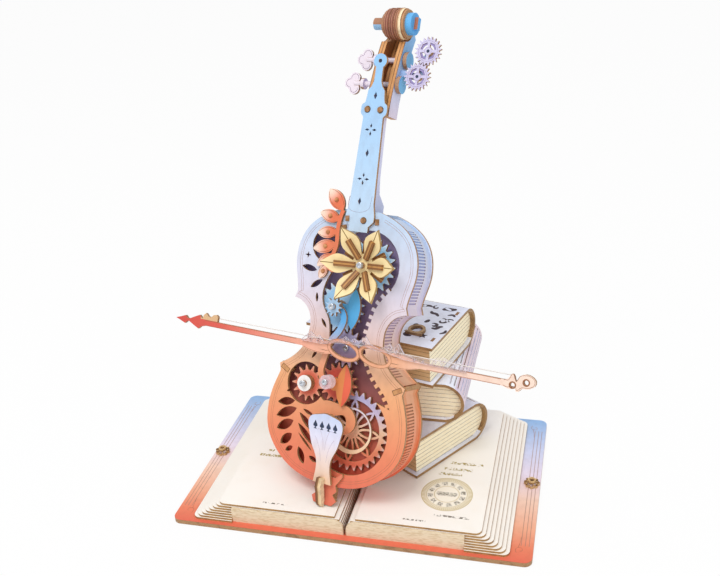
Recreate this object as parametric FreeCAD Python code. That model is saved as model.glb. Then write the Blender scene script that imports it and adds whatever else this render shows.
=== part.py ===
import FreeCAD, Part
import os
from math import radians, degrees, pi, sin, cos, tan, acos, sqrt, atan2

os.makedirs("parts", exist_ok=True)

# Sheet goods, mm
ply = 2.0
base_ply = 3.0
page_ply = 1.4
cover_ply = 2.0
crescent_ply = 1.4

# Fits and clearances, mm
running_gap = 0.05
pivot_gap = 0.08
layer_gap = 0.5
seat_gap = 0.3
overrun = 1.0

# Base plate and open book
base_width = 222.0
base_depth = 144.8
base_corner = 5.0
page_count = 8
page_half_low = 98.0
page_half_top = 81.5
page_front_low = 69.5
page_front_top = 65.4
page_back_low = 67.5
page_back_top = 63.5
page_corner = 4.0
gutter_half_top = 6.5
gutter_half_low = 0.6
panel_half = 72.0
panel_setback = 66.2
panel_corner = 6.0
clasp_size = 10.0
clasp_hole = 1.6
clasp_y = -0.6
clasp_inset = 5.3

# Closed books in the pile
book_length = 90.0
book_width = 69.0
book_thick = 28.0
book_spine = 12.0
book_reveal = 3.0
spine_slit = 0.9
spine_slit_depth = 0.9
spine_slit_count = 13
bottom_book_x = 35.5
bottom_book_y = -21.5
bottom_book_turn = 57.0
middle_book_x = -6.5
middle_book_y = 2.5
middle_book_turn = 0.0
top_book_u = 45.0
ring_radius = 5.6
ring_band = 1.8

# Cello: how it stands
cello_x = -15.5
cello_y = -49.8
cello_z = 24.9
cello_yaw = -15.0
cello_lean = 25.0
cello_roll = 1.25

# Cello body: its length holds this many units, and the cello's other lengths are given in units
body_length = 170.0
unit_count = 170
unit = body_length / unit_count
body_depth = 24.0
lower_half = 48.3 * unit
waist_half = 25.6 * unit
upper_half = 41.2 * unit
rib_inset = 0.8
rib_thick = 1.5
rib_slit = 1.0
rib_slit_pitch = 4.4
rib_slit_margin = 5.0
waist_start = 0.05
waist_end = 0.95
corner_gap = 0.012
post_radius = 2.2
post_thick = 2.6
post_width = 8.0
post_tenon = 5.6
post_angle = 29.0

# Gear train
gear_module = 1.55 * unit
pressure = 28.0
addendum_share = 0.8
dedendum_share = 1.25
backlash = 0.36
axle_radius = 1.5
axle_tail = 1.5
moon_teeth = 30
pinion_teeth = 8
centre_teeth = 15
output_teeth = 13
relay_teeth = 14
mid_teeth = 19
flower_teeth = 21
centre_x = -1.8 * unit
centre_y = 62.2 * unit
output_bearing = 189.5
moon_bearing = -66.0
relay_bearing = 83.9
mid_bearing = 107.0
flower_bearing = 60.3
gear_hub = 5.0 * unit
opening_gap = 2.0

# Moon gear's openwork and crescent
moon_rim = 2.4 * unit
moon_leaf_count = 8
moon_leaf_width = 6.4 * unit
moon_leaf_band = 1.3 * unit
crescent_radius = 14.2 * unit
crescent_bore = 12.3 * unit
crescent_shift = 1.0 * unit

# Leaves on the centre and middle gears, and the small toppings
centre_leaf_length = 26.0 * unit
centre_leaf_width = 10.2 * unit
centre_leaf_offset = 6.4 * unit
mid_leaf_length = 25.0 * unit
mid_leaf_width = 8.6 * unit
mid_leaf_offset = 11.4 * unit
hub_teeth = 11
hub_module = 0.95 * unit
button_radius = 5.0 * unit
button_height = 2.4
screw_radius = 1.9
screw_height = 1.4

# Flower
petal_count = 6
petal_start = 2.0
petal_tip = 27.0 * unit
petal_root = 5.5 * unit
petal_width = 11.5 * unit
petal_tilt = 24.0
petal_ply = 1.6
flower_lift = 4.9
bar_length = 13.0 * unit
bar_width = 3.4 * unit
bar_height = 1.8
back_bar_length = 15.0 * unit

# Front plate openings
flower_opening = 21.4 * unit
vine_opening_x = -20.5 * unit
vine_opening_y = 145.2 * unit
vine_opening_radius = 10.5 * unit
vine_band = 2.6 * unit
vine_curl_angle = -20.0
rack_tooth = 2.4 * unit
rack_pitch = 4.6 * unit

# Bow and its link arm
bow_lift = 8.6
bow_line = 84.6 * unit
bow_left = -121.0 * unit
bow_right = 123.5 * unit
stick_width = 3.6 * unit
loop_half_length = 11.4 * unit
loop_half_width = 6.3 * unit
loop_band = 2.4 * unit
fork_width = 8.6 * unit
left_loop_x = 5.6 * unit
right_loop_x = 26.6 * unit
arrow_length = 24.0 * unit
arrow_width = 9.0 * unit
frog_length = 19.0 * unit
frog_width = 8.2 * unit
frog_hole = 1.3 * unit
hair_radius = 0.28
hair_rise_right = 4.6 * unit
clip_length = 12.0 * unit
clip_height = 4.6 * unit
clip_back = 3.0 * unit
loop_tilt = -9.0
fork_band = 2.2 * unit
arm_lift = 3.0
arm_width = 3.8 * unit
arm_eye = 4.2 * unit
crystal_x = -3.9 * unit
crystal_y = 63.6 * unit
crystal_radius = 4.3 * unit
crystal_left = -23.0 * unit
crystal_right = 84.0 * unit
crystal_height = 5.2
spacer_radius = 3.0 * unit
crystal_ply = 2.0

# Tailpiece, hook and endpin
tailpiece_top = 45.6 * unit
tailpiece_foot = 2.0 * unit
tailpiece_half_top = 11.8 * unit
tailpiece_lift = 3.4
tailpiece_tilt = 7.5
fleur_count = 4
fleur_pitch = 4.6 * unit
fleur_length = 3.4 * unit
fleur_width = 1.7 * unit
hook_width = 3.8 * unit
hook_band = 3.6
endpin_half = 6.0 * unit
endpin_thick = 6.0

# Neck and fingerboard
fingerboard_foot = 155.5 * unit
fingerboard_shoulder = 169.0 * unit
nut_level = 229.0 * unit
tongue_eye = 258.1 * unit
fingerboard_half_foot = 9.6 * unit
fingerboard_half_low = 8.2 * unit
fingerboard_half_nut = 6.6 * unit
lobe_half = 8.7 * unit
lobe_length = 9.0 * unit
tongue_half = 2.3 * unit
tongue_radius = 4.3 * unit
tongue_hole = 1.2 * unit
screw_hole = 1.2
neck_depth = 10.0
heel_depth = 20.0

# Pegbox and scroll
cheek_inner = 4.2 * unit
cheek_lap = 3.0 * unit
cheek_outer = 8.2 * unit
cheek_depth = 11.5
drum_level = 283.0 * unit
drum_depth = 10.5
drum_radius = 9.8
drum_disc = 2.4 * unit
drum_disc_count = 8
drum_groove = 1.1
drum_waist = 1.2
cap_radius = 6.6
cap_length = 4.0 * unit
hub_radius = 3.6
hub_length = 6.5 * unit
scroll_module = 0.8 * unit
scroll_teeth = 20
scroll_gear_depth = 10.0
scroll_gear_ply = 1.6
lower_scroll_u = 20.3 * unit
lower_scroll_v = 251.6 * unit
scroll_bearing = 72.0
bracket_width = 4.0 * unit
bracket_root = 254.4 * unit

# Tuning pegs
peg_levels = (246.2 * unit, 262.1 * unit)
peg_depths = (9.0, 14.8)
peg_radius = 1.7
peg_heads = (-18.0 * unit, -14.6 * unit)
clover_radius = 3.5 * unit
clover_spread = 3.2 * unit
peg_disc_radius = 5.2 * unit
peg_disc_length = 2.6 * unit
peg_disc_gap = 0.4

# Musical movement
movement_left = -35.0 * unit
movement_right = 8.0 * unit
movement_low = 25.0 * unit
movement_high = 63.0 * unit
bedplate = 1.6
barrel_radius = 8.5 * unit
barrel_length = 6.0
cylinder_radius = 4.9
cylinder_length = 21.0 * unit
cylinder_u = -8.0 * unit
cylinder_v = 40.0 * unit
comb_length = 20.0 * unit
comb_width = 9.0 * unit
comb_ply = 1.2
comb_teeth = 18
comb_slot = 0.45
governor_u = -28.6 * unit
governor_v = 38.0 * unit
fly_radius = 4.2 * unit
fly_length = 6.0
key_shaft = 9.0
key_width = 17.0 * unit
key_height = 12.0
key_clearance = 0.5


def spot(x, y, z=0):
    return FreeCAD.Vector(x, y, z)


def polar(centre, angle, reach):
    turn = radians(angle)
    return (centre[0] + reach * cos(turn), centre[1] + reach * sin(turn))


def line(first, last):
    return Part.LineSegment(spot(*first), spot(*last)).toShape()


def spline(points):
    curve = Part.BSplineCurve()
    curve.interpolate([spot(x, y) for x, y in points])
    return curve


def outline(*stretches):
    # Two points make a straight edge and more make a smooth one
    edges = []
    for points in stretches:
        edges.append(line(*points) if len(points) == 2 else spline(points).toShape())
    return Part.Face(Part.Wire(edges))


def polygon(points):
    corners = [spot(x, y) for x, y in points]
    return Part.Face(Part.makePolygon(corners + corners[:1]))


def circle(centre, radius):
    return Part.Face(Part.Wire(Part.makeCircle(radius, spot(*centre))))


def ellipse(centre, half_length, half_width):
    edge = Part.Ellipse(spot(*centre), half_length, half_width).toShape()
    return Part.Face(Part.Wire(edge))


def rectangle(left, right, low, high):
    return polygon(((left, low), (right, low), (right, high), (left, high)))


def rounded(left, right, low, high, radius):
    solid = Part.makeBox(right - left, high - low, radius, spot(left, low))
    upright = [edge for edge in solid.Edges if abs(edge.tangentAt(edge.FirstParameter).z) > 1 / 2]
    solid = solid.makeFillet(radius, upright)
    return [face for face in solid.Faces if face.normalAt(0, 0).z < -1 / 2][0]


def leaf(root, angle, length, width):
    tip = polar(root, angle, length)
    middle = polar(root, angle, length / 2)
    edges = []
    for first, side, last in ((root, 90, tip), (tip, -90, root)):
        bulge = polar(middle, angle + side, width / 2)
        edges.append(Part.Arc(spot(*first), spot(*bulge), spot(*last)).toShape())
    return Part.Face(Part.Wire(edges))


def diamond(root, angle, length, width):
    middle = polar(root, angle, length / 2)
    return polygon((root, polar(middle, angle - 90, width / 2), polar(root, angle, length),
                    polar(middle, angle + 90, width / 2)))


def bar(first, last, width):
    angle = degrees(atan2(last[1] - first[1], last[0] - first[0]))
    corners = []
    for end, side in ((first, -90), (last, -90), (last, 90), (first, 90)):
        corners.append(polar(end, angle + side, width / 2))
    return polygon(corners)


def slab(face, low, high):
    lifted = face.copy()
    if lifted.normalAt(0, 0).z < 0:
        lifted.reverse()
    lifted.translate(spot(0, 0, low))
    return lifted.extrude(spot(0, 0, high - low))


def rod(centre, radius, low, high):
    return Part.makeCylinder(radius, high - low, spot(centre[0], centre[1], low))


def cross_rod(level, height, radius, left, right):
    return Part.makeCylinder(radius, right - left, spot(left, level, height), spot(1, 0, 0))


def join(*shapes):
    return shapes[0].multiFuse(list(shapes[1:])).removeSplitter()


def cut(shape, tools):
    return shape.cut(Part.makeCompound(tools)) if tools else shape


def biggest(shape):
    return max(shape.Solids, key=lambda solid: solid.Volume)


def mirrored(shape):
    return shape.mirror(spot(0, 0), spot(1, 0, 0))


def side_profile(points, left, right):
    # Points are (level, height) in the plane across the cello, drawn out sideways
    corners = [spot(left, level, height) for level, height in points]
    face = Part.Face(Part.makePolygon(corners + corners[:1]))
    return face.extrude(spot(right - left, 0, 0))


def export(node, *solids):
    loose = [solid for shape in solids for solid in shape.Solids]
    shape = loose[0] if len(loose) == 1 else Part.makeCompound(loose)
    shape.exportStep("parts/" + node + ".step")


# The cello's own frame: across, up the body and out of its front face
turn = radians(cello_yaw)
tilt = radians(cello_lean)
swing = radians(cello_roll)
out_axis = spot(sin(turn) * cos(tilt), -cos(turn) * cos(tilt), sin(tilt))
flat_across = spot(cos(turn), sin(turn))
flat_up = out_axis.cross(flat_across)
across_axis = flat_across * cos(swing) + flat_up * sin(swing)
up_axis = out_axis.cross(across_axis)
cello_base = spot(cello_x, cello_y, cello_z)
stand = FreeCAD.Matrix(across_axis.x, up_axis.x, out_axis.x, cello_base.x,
                       across_axis.y, up_axis.y, out_axis.y, cello_base.y,
                       across_axis.z, up_axis.z, out_axis.z, cello_base.z)


def cello(node, *solids):
    placed = []
    for shape in solids:
        for solid in shape.Solids:
            moved = solid.copy()
            moved.Placement = FreeCAD.Placement(stand).multiply(moved.Placement)
            placed.append(moved)
    export(node, *placed)


# Levels of the cello's layers, out of its front face
front_back = -ply
gear_front = front_back - layer_gap
gear_back = gear_front - ply
moon_front = gear_back - layer_gap
moon_back = moon_front - ply
mid_front = moon_back - layer_gap
mid_back = mid_front - ply
back_back = -body_depth
back_front = back_back + ply
top_layer = layer_gap
page_top = base_ply + page_count * page_ply


# Gear geometry: involute teeth, each flank drawn straight from root to tip
def pitch_radius(teeth, module):
    return teeth * module / 2


def tip_radius(teeth, module):
    return pitch_radius(teeth, module) + addendum_share * module


def gear_face(centre, teeth, module, phase):
    pitch = pitch_radius(teeth, module)
    tip = tip_radius(teeth, module)
    root = pitch - dedendum_share * module
    flank = radians(pressure)
    base = pitch * cos(flank)
    slack = backlash * module / gear_module
    half_pitch = (pi * module / 2 - slack) / 2 / pitch
    at_pitch = half_pitch + tan(flank) - flank

    def half_angle(radius):
        if radius <= base:
            return at_pitch
        angle = acos(base / radius)
        return at_pitch - tan(angle) + angle

    points = []
    for tooth in range(teeth):
        middle = phase + tooth * 2 * pi / teeth
        for side in (-1, 1):
            radii = (root, tip) if side < 0 else (tip, root)
            for radius in radii:
                points.append(polar(centre, degrees(middle + side * half_angle(radius)), radius))
    return polygon(points)


def meshing_phase(phase, teeth, follower_teeth, bearing):
    # Turns the follower so that a gap of it faces a tooth of the driver
    line_angle = radians(bearing)
    turned = teeth / follower_teeth * (phase - line_angle)
    return line_angle + pi - turned - pi / follower_teeth


def gear_centre(start, teeth, follower_teeth, module, bearing):
    reach = pitch_radius(teeth, module) + pitch_radius(follower_teeth, module)
    return polar(start, bearing, reach)


centre_spot = (centre_x, centre_y)
output_spot = gear_centre(centre_spot, centre_teeth, output_teeth, gear_module, output_bearing)
moon_spot = gear_centre(centre_spot, pinion_teeth, moon_teeth, gear_module, moon_bearing)
relay_spot = gear_centre(centre_spot, centre_teeth, relay_teeth, gear_module, relay_bearing)
mid_spot = gear_centre(relay_spot, relay_teeth, mid_teeth, gear_module, mid_bearing)
flower_spot = gear_centre(mid_spot, mid_teeth, flower_teeth, gear_module, flower_bearing)
upper_scroll_spot = gear_centre((lower_scroll_u, lower_scroll_v), scroll_teeth, scroll_teeth,
                                scroll_module, scroll_bearing)

centre_phase = 0
output_phase = meshing_phase(centre_phase, centre_teeth, output_teeth, output_bearing)
relay_phase = meshing_phase(centre_phase, centre_teeth, relay_teeth, relay_bearing)
mid_phase = meshing_phase(relay_phase, relay_teeth, mid_teeth, mid_bearing)
flower_phase = meshing_phase(mid_phase, mid_teeth, flower_teeth, flower_bearing)
moon_phase = meshing_phase(centre_phase, pinion_teeth, moon_teeth, moon_bearing)
lower_scroll_phase = radians(scroll_bearing)
upper_scroll_phase = meshing_phase(lower_scroll_phase, scroll_teeth, scroll_teeth, scroll_bearing)


# Base plate with rounded corners
def base_plate():
    face = rounded(-base_width / 2, base_width / 2, -base_depth / 2, base_depth / 2, base_corner)
    export("base_plate", slab(face, 0, base_ply))


# Stepped page sheets, one pile on each side of the gutter
def page_edges(sheet):
    share = sheet / (page_count - 1)
    outer = page_half_low + (page_half_top - page_half_low) * share
    front = page_front_low + (page_front_top - page_front_low) * share
    back = page_back_low + (page_back_top - page_back_low) * share
    curl = 1 - sqrt(1 - share * share)
    inner = gutter_half_low + (gutter_half_top - gutter_half_low) * curl
    return inner, outer, front, back


def page_pile():
    sheets = []
    for sheet in range(page_count):
        inner, outer, front, back = page_edges(sheet)
        low = base_ply + sheet * page_ply
        face = rounded(inner - page_corner, outer, -front, back, page_corner)
        solid = slab(face, low, low + page_ply)
        trims = [slab(rectangle(inner - page_corner - overrun, inner, -base_depth, base_depth),
                      low - overrun, low + page_ply + overrun)]
        if sheet < page_count - 1:
            trims.append(slab(rectangle(-overrun, panel_half, -base_depth, -panel_setback),
                              low - overrun, low + page_ply + overrun))
        sheets.append(cut(solid, trims))
    return sheets


def pages():
    sheets = page_pile()
    export("right_pages", *sheets)
    export("left_pages", *[mirrored(sheet) for sheet in sheets])


# Panels that close the front of each page pile, rolled over at the gutter
def front_panels():
    height = (page_count - 1) * page_ply
    thick = ply - seat_gap
    solid = Part.makeBox(panel_half - gutter_half_low, thick, height,
                         spot(gutter_half_low, -panel_setback - thick, base_ply))
    inner_top = [edge for edge in solid.Edges
                 if abs(edge.tangentAt(edge.FirstParameter).y) > 1 / 2
                 and edge.CenterOfMass.x < panel_half / 2 and edge.CenterOfMass.z > base_ply + height / 2]
    solid = solid.makeFillet(panel_corner, inner_top)
    export("right_front_panel", solid)
    export("left_front_panel", mirrored(solid))


# Clasp plates on the two side borders of the cover
def clasp(side):
    middle = (side * (base_width / 2 - clasp_inset), clasp_y)
    lobe = clasp_size / 4
    petals = [leaf(polar(middle, angle, -2 * lobe), angle, 4 * lobe, 2 * lobe) for angle in (0, 90)]
    low = base_ply
    plate = join(*[slab(face, low, low + ply) for face in petals])
    stud = rod(middle, lobe, low + ply, low + 2 * ply)
    bore = rod(middle, clasp_hole, low + ply, low + 2 * ply + overrun)
    return [plate, stud.cut(bore)]


def clasps():
    export("cover_clasps", *clasp(-1), *clasp(1))


# Closed books: a wrapped cover with a kerfed round spine, and a page block
def spine_face(width, thick, inset):
    # Section across the book: fore-edge at zero, round spine at full width
    low = inset
    high = thick - inset
    flat = width - book_spine
    middle = (flat + book_spine - inset, thick / 2)
    edges = [line((0, low), (flat, low)),
             Part.Arc(spot(flat, low), spot(*middle), spot(flat, high)).toShape(),
             line((flat, high), (0, high)), line((0, high), (0, low))]
    return Part.Face(Part.Wire(edges))


def upright_prism(face, start, length):
    # Stands the section up and draws it out along the book
    solid = face.extrude(spot(0, 0, length))
    solid.rotate(spot(0, 0), spot(1, 0, 0), 90)
    solid.translate(spot(0, start + length, 0))
    return solid


def spine_arc(share, inset):
    # A place on the round spine, and the way out of it
    half = book_thick / 2
    radius = (half * half + book_spine * book_spine) / 2 / book_spine
    reach = atan2(half, radius - book_spine)
    angle = reach * (2 * share - 1)
    centre = book_width - radius
    return (centre + (radius - inset) * cos(angle), half + (radius - inset) * sin(angle), angle)


def book(name, place):
    outer = upright_prism(spine_face(book_width, book_thick, 0), 0, book_length)
    inner = upright_prism(spine_face(book_width, book_thick, cover_ply), -overrun, book_length + 2 * overrun)
    hollow = Part.makeBox(overrun * 2, book_length + 2 * overrun, book_thick - 2 * cover_ply,
                          spot(-overrun, -overrun, cover_ply))
    slits = []
    for slit in range(spine_slit_count):
        x, z, angle = spine_arc((slit + 1) / (spine_slit_count + 1), 0)
        groove = Part.makeBox(spine_slit_depth * 2, book_length - 2 * book_reveal, spine_slit,
                              spot(-spine_slit_depth, book_reveal, -spine_slit / 2))
        groove.rotate(spot(0, 0), spot(0, 1, 0), -degrees(angle))
        groove.translate(spot(x, 0, z))
        slits.append(groove)
    cover = cut(outer.cut(inner).cut(hollow), slits)
    block = upright_prism(spine_face(book_width, book_thick, cover_ply), book_reveal,
                          book_length - 2 * book_reveal)
    trim = Part.makeBox(book_reveal, book_length, book_thick, spot(0, 0, 0))
    block = block.cut(trim)
    for shape in (cover, block):
        shape.Placement = place.multiply(shape.Placement)
    export(name + "_book_cover", cover)
    export(name + "_book_pages", block)


def book_place(x, y, low, turned):
    return FreeCAD.Placement(spot(x, y, low), FreeCAD.Rotation(spot(0, 0, 1), turned))


def books():
    second = page_top + book_thick
    third = second + book_thick
    book("bottom", book_place(bottom_book_x, bottom_book_y, page_top, bottom_book_turn))
    book("middle", book_place(middle_book_x, middle_book_y, second, middle_book_turn))
    # The top book lies along the cello's back, and the back leans on its fore-edge
    rest_level = third + book_thick
    fore = spot(cello_base.x, cello_base.y) + flat_across * top_book_u
    behind = cello_base - out_axis * (body_depth + seat_gap)
    inward = spot(-sin(turn), cos(turn))
    reach = (out_axis.dot(behind - fore) - out_axis.z * rest_level) / out_axis.dot(inward)
    corner = fore + inward * reach
    place = book_place(corner.x, corner.y, third, cello_yaw + 90)
    book("top", place)
    ring = Part.makeCylinder(ring_radius, ply).cut(Part.makeCylinder(ring_radius - ring_band, ply))
    ring = join(ring, Part.makeBox(ring_band, 2 * ring_radius, ply, spot(-ring_radius, -ring_radius)))
    ring.Placement = place.multiply(FreeCAD.Placement(
        spot(3 * ring_radius, book_length / 5, book_thick), FreeCAD.Rotation()))
    export("top_book_ring", ring)


# Body outline, right half, as shares of the half-widths and of the body's length
lower_shares = ((0, 0), (0.33, 0.0075), (0.62, 0.040), (0.85, 0.098), (0.965, 0.155),
                (1.0, 0.218), (0.975, 0.290), (0.915, 0.345), (0.88, 0.372))
lower_corner_shares = (0.905, 0.399)
waist_shares = ((1.32, 0.440), (1.11, 0.480), (1.0, 0.545), (1.01, 0.580), (1.11, 0.615), (1.28, 0.638))
upper_corner_shares = (0.945, 0.650)
upper_shares = ((0.91, 0.674), (0.945, 0.722), (0.99, 0.768), (1.0, 0.812), (0.955, 0.868),
                (0.84, 0.917), (0.67, 0.953), (0.46, 0.979), (0.316, 0.991))


def scaled(shares, half):
    return [(half * x, body_length * y) for x, y in shares]


lower_stretch = scaled(lower_shares, lower_half)
lower_corner = scaled((lower_corner_shares,), lower_half)[0]
upper_corner = scaled((upper_corner_shares,), upper_half)[0]
waist_stretch = [lower_corner] + scaled(waist_shares, waist_half) + [upper_corner]
upper_stretch = scaled(upper_shares, upper_half)
full_lower = [(-x, y) for x, y in reversed(lower_stretch[1:])] + lower_stretch


def flipped(points):
    return [(-x, y) for x, y in reversed(points)]


def body_face():
    top = upper_stretch[-1]
    return outline(full_lower, [lower_stretch[-1], lower_corner], waist_stretch,
                   [upper_corner, upper_stretch[0]], upper_stretch, [top, (-top[0], top[1])],
                   flipped(upper_stretch), [(-upper_stretch[0][0], upper_stretch[0][1]),
                                            (-upper_corner[0], upper_corner[1])],
                   flipped(waist_stretch), [(-lower_corner[0], lower_corner[1]),
                                            (-lower_stretch[-1][0], lower_stretch[-1][1])])


def shifted_point(curve, share, inset):
    # A place on the curve, moved to its inner side
    first, last = curve.FirstParameter, curve.LastParameter
    at = first + (last - first) * share
    point = curve.value(at)
    way = curve.tangent(at)[0]
    return (point.x - way.y * inset, point.y + way.x * inset)


def inset_points(points, inset, start, end, count):
    curve = spline(points)
    return [shifted_point(curve, start + (end - start) * step / count, inset)
            for step in range(count + 1)]


def rib_face(points, start, end, count):
    outer = inset_points(points, rib_inset, start, end, count)
    inner = inset_points(points, rib_inset + rib_thick, start, end, count)
    return outline(outer, [outer[-1], inner[-1]], inner[::-1], [inner[0], outer[0]])


def rib_slits(points, start, end):
    # Kerfs through the rib, square to it, that let the sheet bend
    curve = spline(points)
    length = curve.length() * (end - start)
    count = int(length / rib_slit_pitch)
    low = back_front + rib_slit_margin
    high = front_back - rib_slit_margin
    slits = []
    for step in range(count):
        share = start + (end - start) * (step + 1 / 2) / count
        inside = shifted_point(curve, share, rib_inset + rib_thick + overrun)
        outside = shifted_point(curve, share, rib_inset - overrun)
        slits.append(slab(bar(inside, outside, rib_slit), low, high))
    return slits


def corner_face(points, at, waist_at):
    # Carries a rib on from its end to the waist's corner
    curve = spline(points)
    waist = spline(waist_stretch)
    deep = rib_inset + rib_thick
    return polygon((shifted_point(curve, at, rib_inset), shifted_point(waist, waist_at, rib_inset),
                    shifted_point(waist, waist_at, deep), shifted_point(curve, at, deep)))


def ribs():
    lower = slab(rib_face(full_lower, 0, 1, 24), back_front, front_back)
    corner = slab(corner_face(full_lower, 1, waist_start - corner_gap), back_front, front_back)
    lower = join(lower, corner, mirrored(corner))
    lower = cut(lower, rib_slits(full_lower, 0.05, 0.32) + rib_slits(full_lower, 0.68, 0.95))
    room = slab(post_bar(-post_width, 2 * post_width, seat_gap), back_front, front_back)
    lower = biggest(cut(lower, [room, mirrored(room)]))
    cello("lower_rib", lower)
    waist = slab(rib_face(waist_stretch, waist_start, waist_end, 10), back_front, front_back)
    waist = biggest(cut(waist, rib_slits(waist_stretch, 0.2, 0.8) + [room]))
    cello("waist_ribs", waist, mirrored(waist))
    upper = slab(rib_face(upper_stretch, 0, 0.93, 14), back_front, front_back)
    upper = join(upper, slab(corner_face(upper_stretch, 0, waist_end + corner_gap), back_front, front_back))
    upper = cut(upper, rib_slits(upper_stretch, 0.12, 0.72))
    cello("upper_ribs", upper, mirrored(upper))


# Flat corner posts between the plates, each with a tenon through the front plate
def post_bar(start, length, wider=0):
    return bar(polar(lower_corner, post_angle, start), polar(lower_corner, post_angle, start + length),
               post_thick + 2 * wider)


def corner_posts():
    post = slab(post_bar(-post_width, post_width), back_front, front_back)
    tenon = slab(post_bar(-post_width, post_tenon), front_back, 0)
    post = join(post, tenon)
    cello("corner_posts", post, mirrored(post))


# Front plate: the wide S-shaped opening over the gears, and the leaf openings
channel_left_shares = ((-0.30, 0.769), (-0.385, 0.717), (-0.406, 0.674), (-0.365, 0.632), (-0.275, 0.592),
                       (-0.235, 0.546), (-0.22, 0.510), (-0.25, 0.460), (-0.36, 0.400))
channel_right_shares = ((0.741, 0.315), (0.596, 0.376), (0.464, 0.415), (0.389, 0.446), (0.327, 0.482),
                        (0.292, 0.530), (0.296, 0.570), (0.331, 0.610), (0.371, 0.654), (0.451, 0.694),
                        (0.559, 0.729))
arm_top_shares = ((-0.62, 0.262), (-0.42, 0.268), (-0.27, 0.287), (-0.13, 0.300), (0.02, 0.297), (0.18, 0.292),
                  (0.275, 0.268), (0.300, 0.235), (0.255, 0.208), (0.14, 0.194))
arm_low_shares = ((0.14, 0.194), (0.165, 0.215), (0.17, 0.240), (0.135, 0.2585), (0.05, 0.256), (-0.2, 0.236),
                  (-0.62, 0.22))
laurel_shares = ((-0.605, 0.2724, 194, 0.263, 0.105), (-0.565, 0.247, 208, 0.33, 0.125),
                 (-0.59, 0.200, 213, 0.28, 0.125), (-0.59, 0.151, 227, 0.224, 0.115),
                 (-0.553, 0.105, 217, 0.126, 0.066), (-0.468, 0.1106, 297, 0.236, 0.095),
                 (-0.294, 0.0853, 338, 0.141, 0.062), (-0.468, 0.2494, 341, 0.176, 0.046),
                 (-0.5155, 0.2341, 320, 0.334, 0.082), (-0.5176, 0.1953, 318, 0.374, 0.082),
                 (-0.497, 0.1606, 320, 0.31, 0.034), (-0.745, 0.300, 35, 0.07, 0.032))
upper_leaf_shares = ((-0.89, 0.768, -8, 0.27, 0.095), (-0.70, 0.694, 36, 0.24, 0.085),
                     (-0.575, 0.680, -82, 0.15, 0.045), (-0.44, 0.590, -52, 0.17, 0.048),
                     (-0.517, 0.4395, 60, 0.185, 0.05))
star_shares = (-0.81, 0.810, 0.055, 0.018)
rack_held_share = 0.75
star_points = 8


def leaf_faces(shares, half):
    faces = []
    for x, y, angle, length, width in shares:
        faces.append(leaf((half * x, body_length * y), angle, half * length, half * width))
    return faces


def star_face():
    x, y, length, waist = star_shares
    middle = (upper_half * x, body_length * y)
    corners = []
    for point in range(star_points):
        corners.append(polar(middle, 360 / star_points * point, upper_half * (waist if point % 2 else length)))
    return polygon(corners)


def rack_teeth():
    # Teeth along the right lip of the opening
    curve = spline(scaled(channel_right_shares, lower_half))
    count = int(curve.length() / rack_pitch)
    teeth = []
    for step in range(count):
        share = (step + 1 / 2) / count
        heel = shifted_point(curve, share, -rack_tooth / 2)
        tip = shifted_point(curve, share, rack_tooth)
        teeth.append(bar(heel, tip, rack_pitch / 2))
    return teeth


def ring_outline(first, second):
    # Closes two smooth stretches with straight edges between their ends
    return outline(first, [first[-1], second[0]], second, [second[-1], first[0]])


def front_plate():
    channel = ring_outline(scaled(channel_left_shares, lower_half), scaled(channel_right_shares, lower_half))
    low = scaled(arm_low_shares, lower_half)
    top = scaled(arm_top_shares, lower_half)
    arm = outline(top, low, [low[-1], top[0]])
    moon_window = circle(moon_spot, tip_radius(moon_teeth, gear_module) + opening_gap)
    shade = rectangle(-lower_half, -gear_hub / 2, 0, body_length)
    holes = [circle(output_spot, tip_radius(output_teeth, gear_module) + opening_gap),
             circle(centre_spot, tip_radius(centre_teeth, gear_module) + opening_gap / 2),
             circle(flower_spot, flower_opening), channel, moon_window.cut(shade),
             circle((vine_opening_x, vine_opening_y), vine_opening_radius)]
    opening = holes[0].multiFuse(holes[1:]).removeSplitter().cut(arm)
    teeth = [tooth for tooth in rack_teeth() if tooth.common(opening).Area < tooth.Area * rack_held_share]
    opening = cut(opening, teeth)
    ornament = leaf_faces(laurel_shares, lower_half) + leaf_faces(upper_leaf_shares, upper_half) + [star_face()]
    mortise = post_bar(-post_width - seat_gap, post_tenon + 2 * seat_gap, seat_gap)
    plate = cut(body_face(), opening.Faces + ornament + [mortise, mirrored(mortise)])
    face = max(plate.Faces, key=lambda found: found.Area)
    cello("front_plate", slab(face, front_back, 0))


# Inner and back plates, with the bores that carry the axles
def mid_plate():
    inset = rib_inset + rib_thick + seat_gap
    lower = inset_points(full_lower, inset, 0.02, 0.98, 24)
    side = inset_points(waist_stretch, inset, 0.12, 0.88, 8) + inset_points(upper_stretch, inset, 0.05, 0.95, 10)
    face = polygon(lower + side + flipped(side))
    spots = (output_spot, centre_spot, moon_spot, relay_spot, mid_spot, flower_spot)
    bores = [rod(place, axle_radius + running_gap, mid_back - overrun, mid_front + overrun)
             for place in spots]
    room = slab(post_bar(-post_width - seat_gap, post_width, seat_gap), mid_back - overrun, mid_front + overrun)
    cello("mid_plate", cut(slab(face, mid_back, mid_front), bores + [room, mirrored(room)]))


def back_plate():
    bore = rod(output_spot, axle_radius + running_gap, back_back - overrun, back_front + overrun)
    cello("back_plate", slab(body_face(), back_back, back_front).cut(bore))


post_shares = ((-0.79, 0.22), (0.86, 0.27), (-0.80, 0.862), (0.83, 0.850), (-0.08, 0.035))


def posts():
    solids = []
    for x, y in post_shares:
        half = lower_half if y < 1 / 2 else upper_half
        place = (half * x, body_length * y)
        solids.append(rod(place, post_radius, back_front, mid_back))
    cello("plate_posts", *solids)


# Gears of the train, each with its axle
def axle(place, top):
    return rod(place, axle_radius, mid_back - axle_tail, top)


def ring_cut(place, low, high):
    return rod(place, axle_radius, low - overrun, high + overrun)


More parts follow.
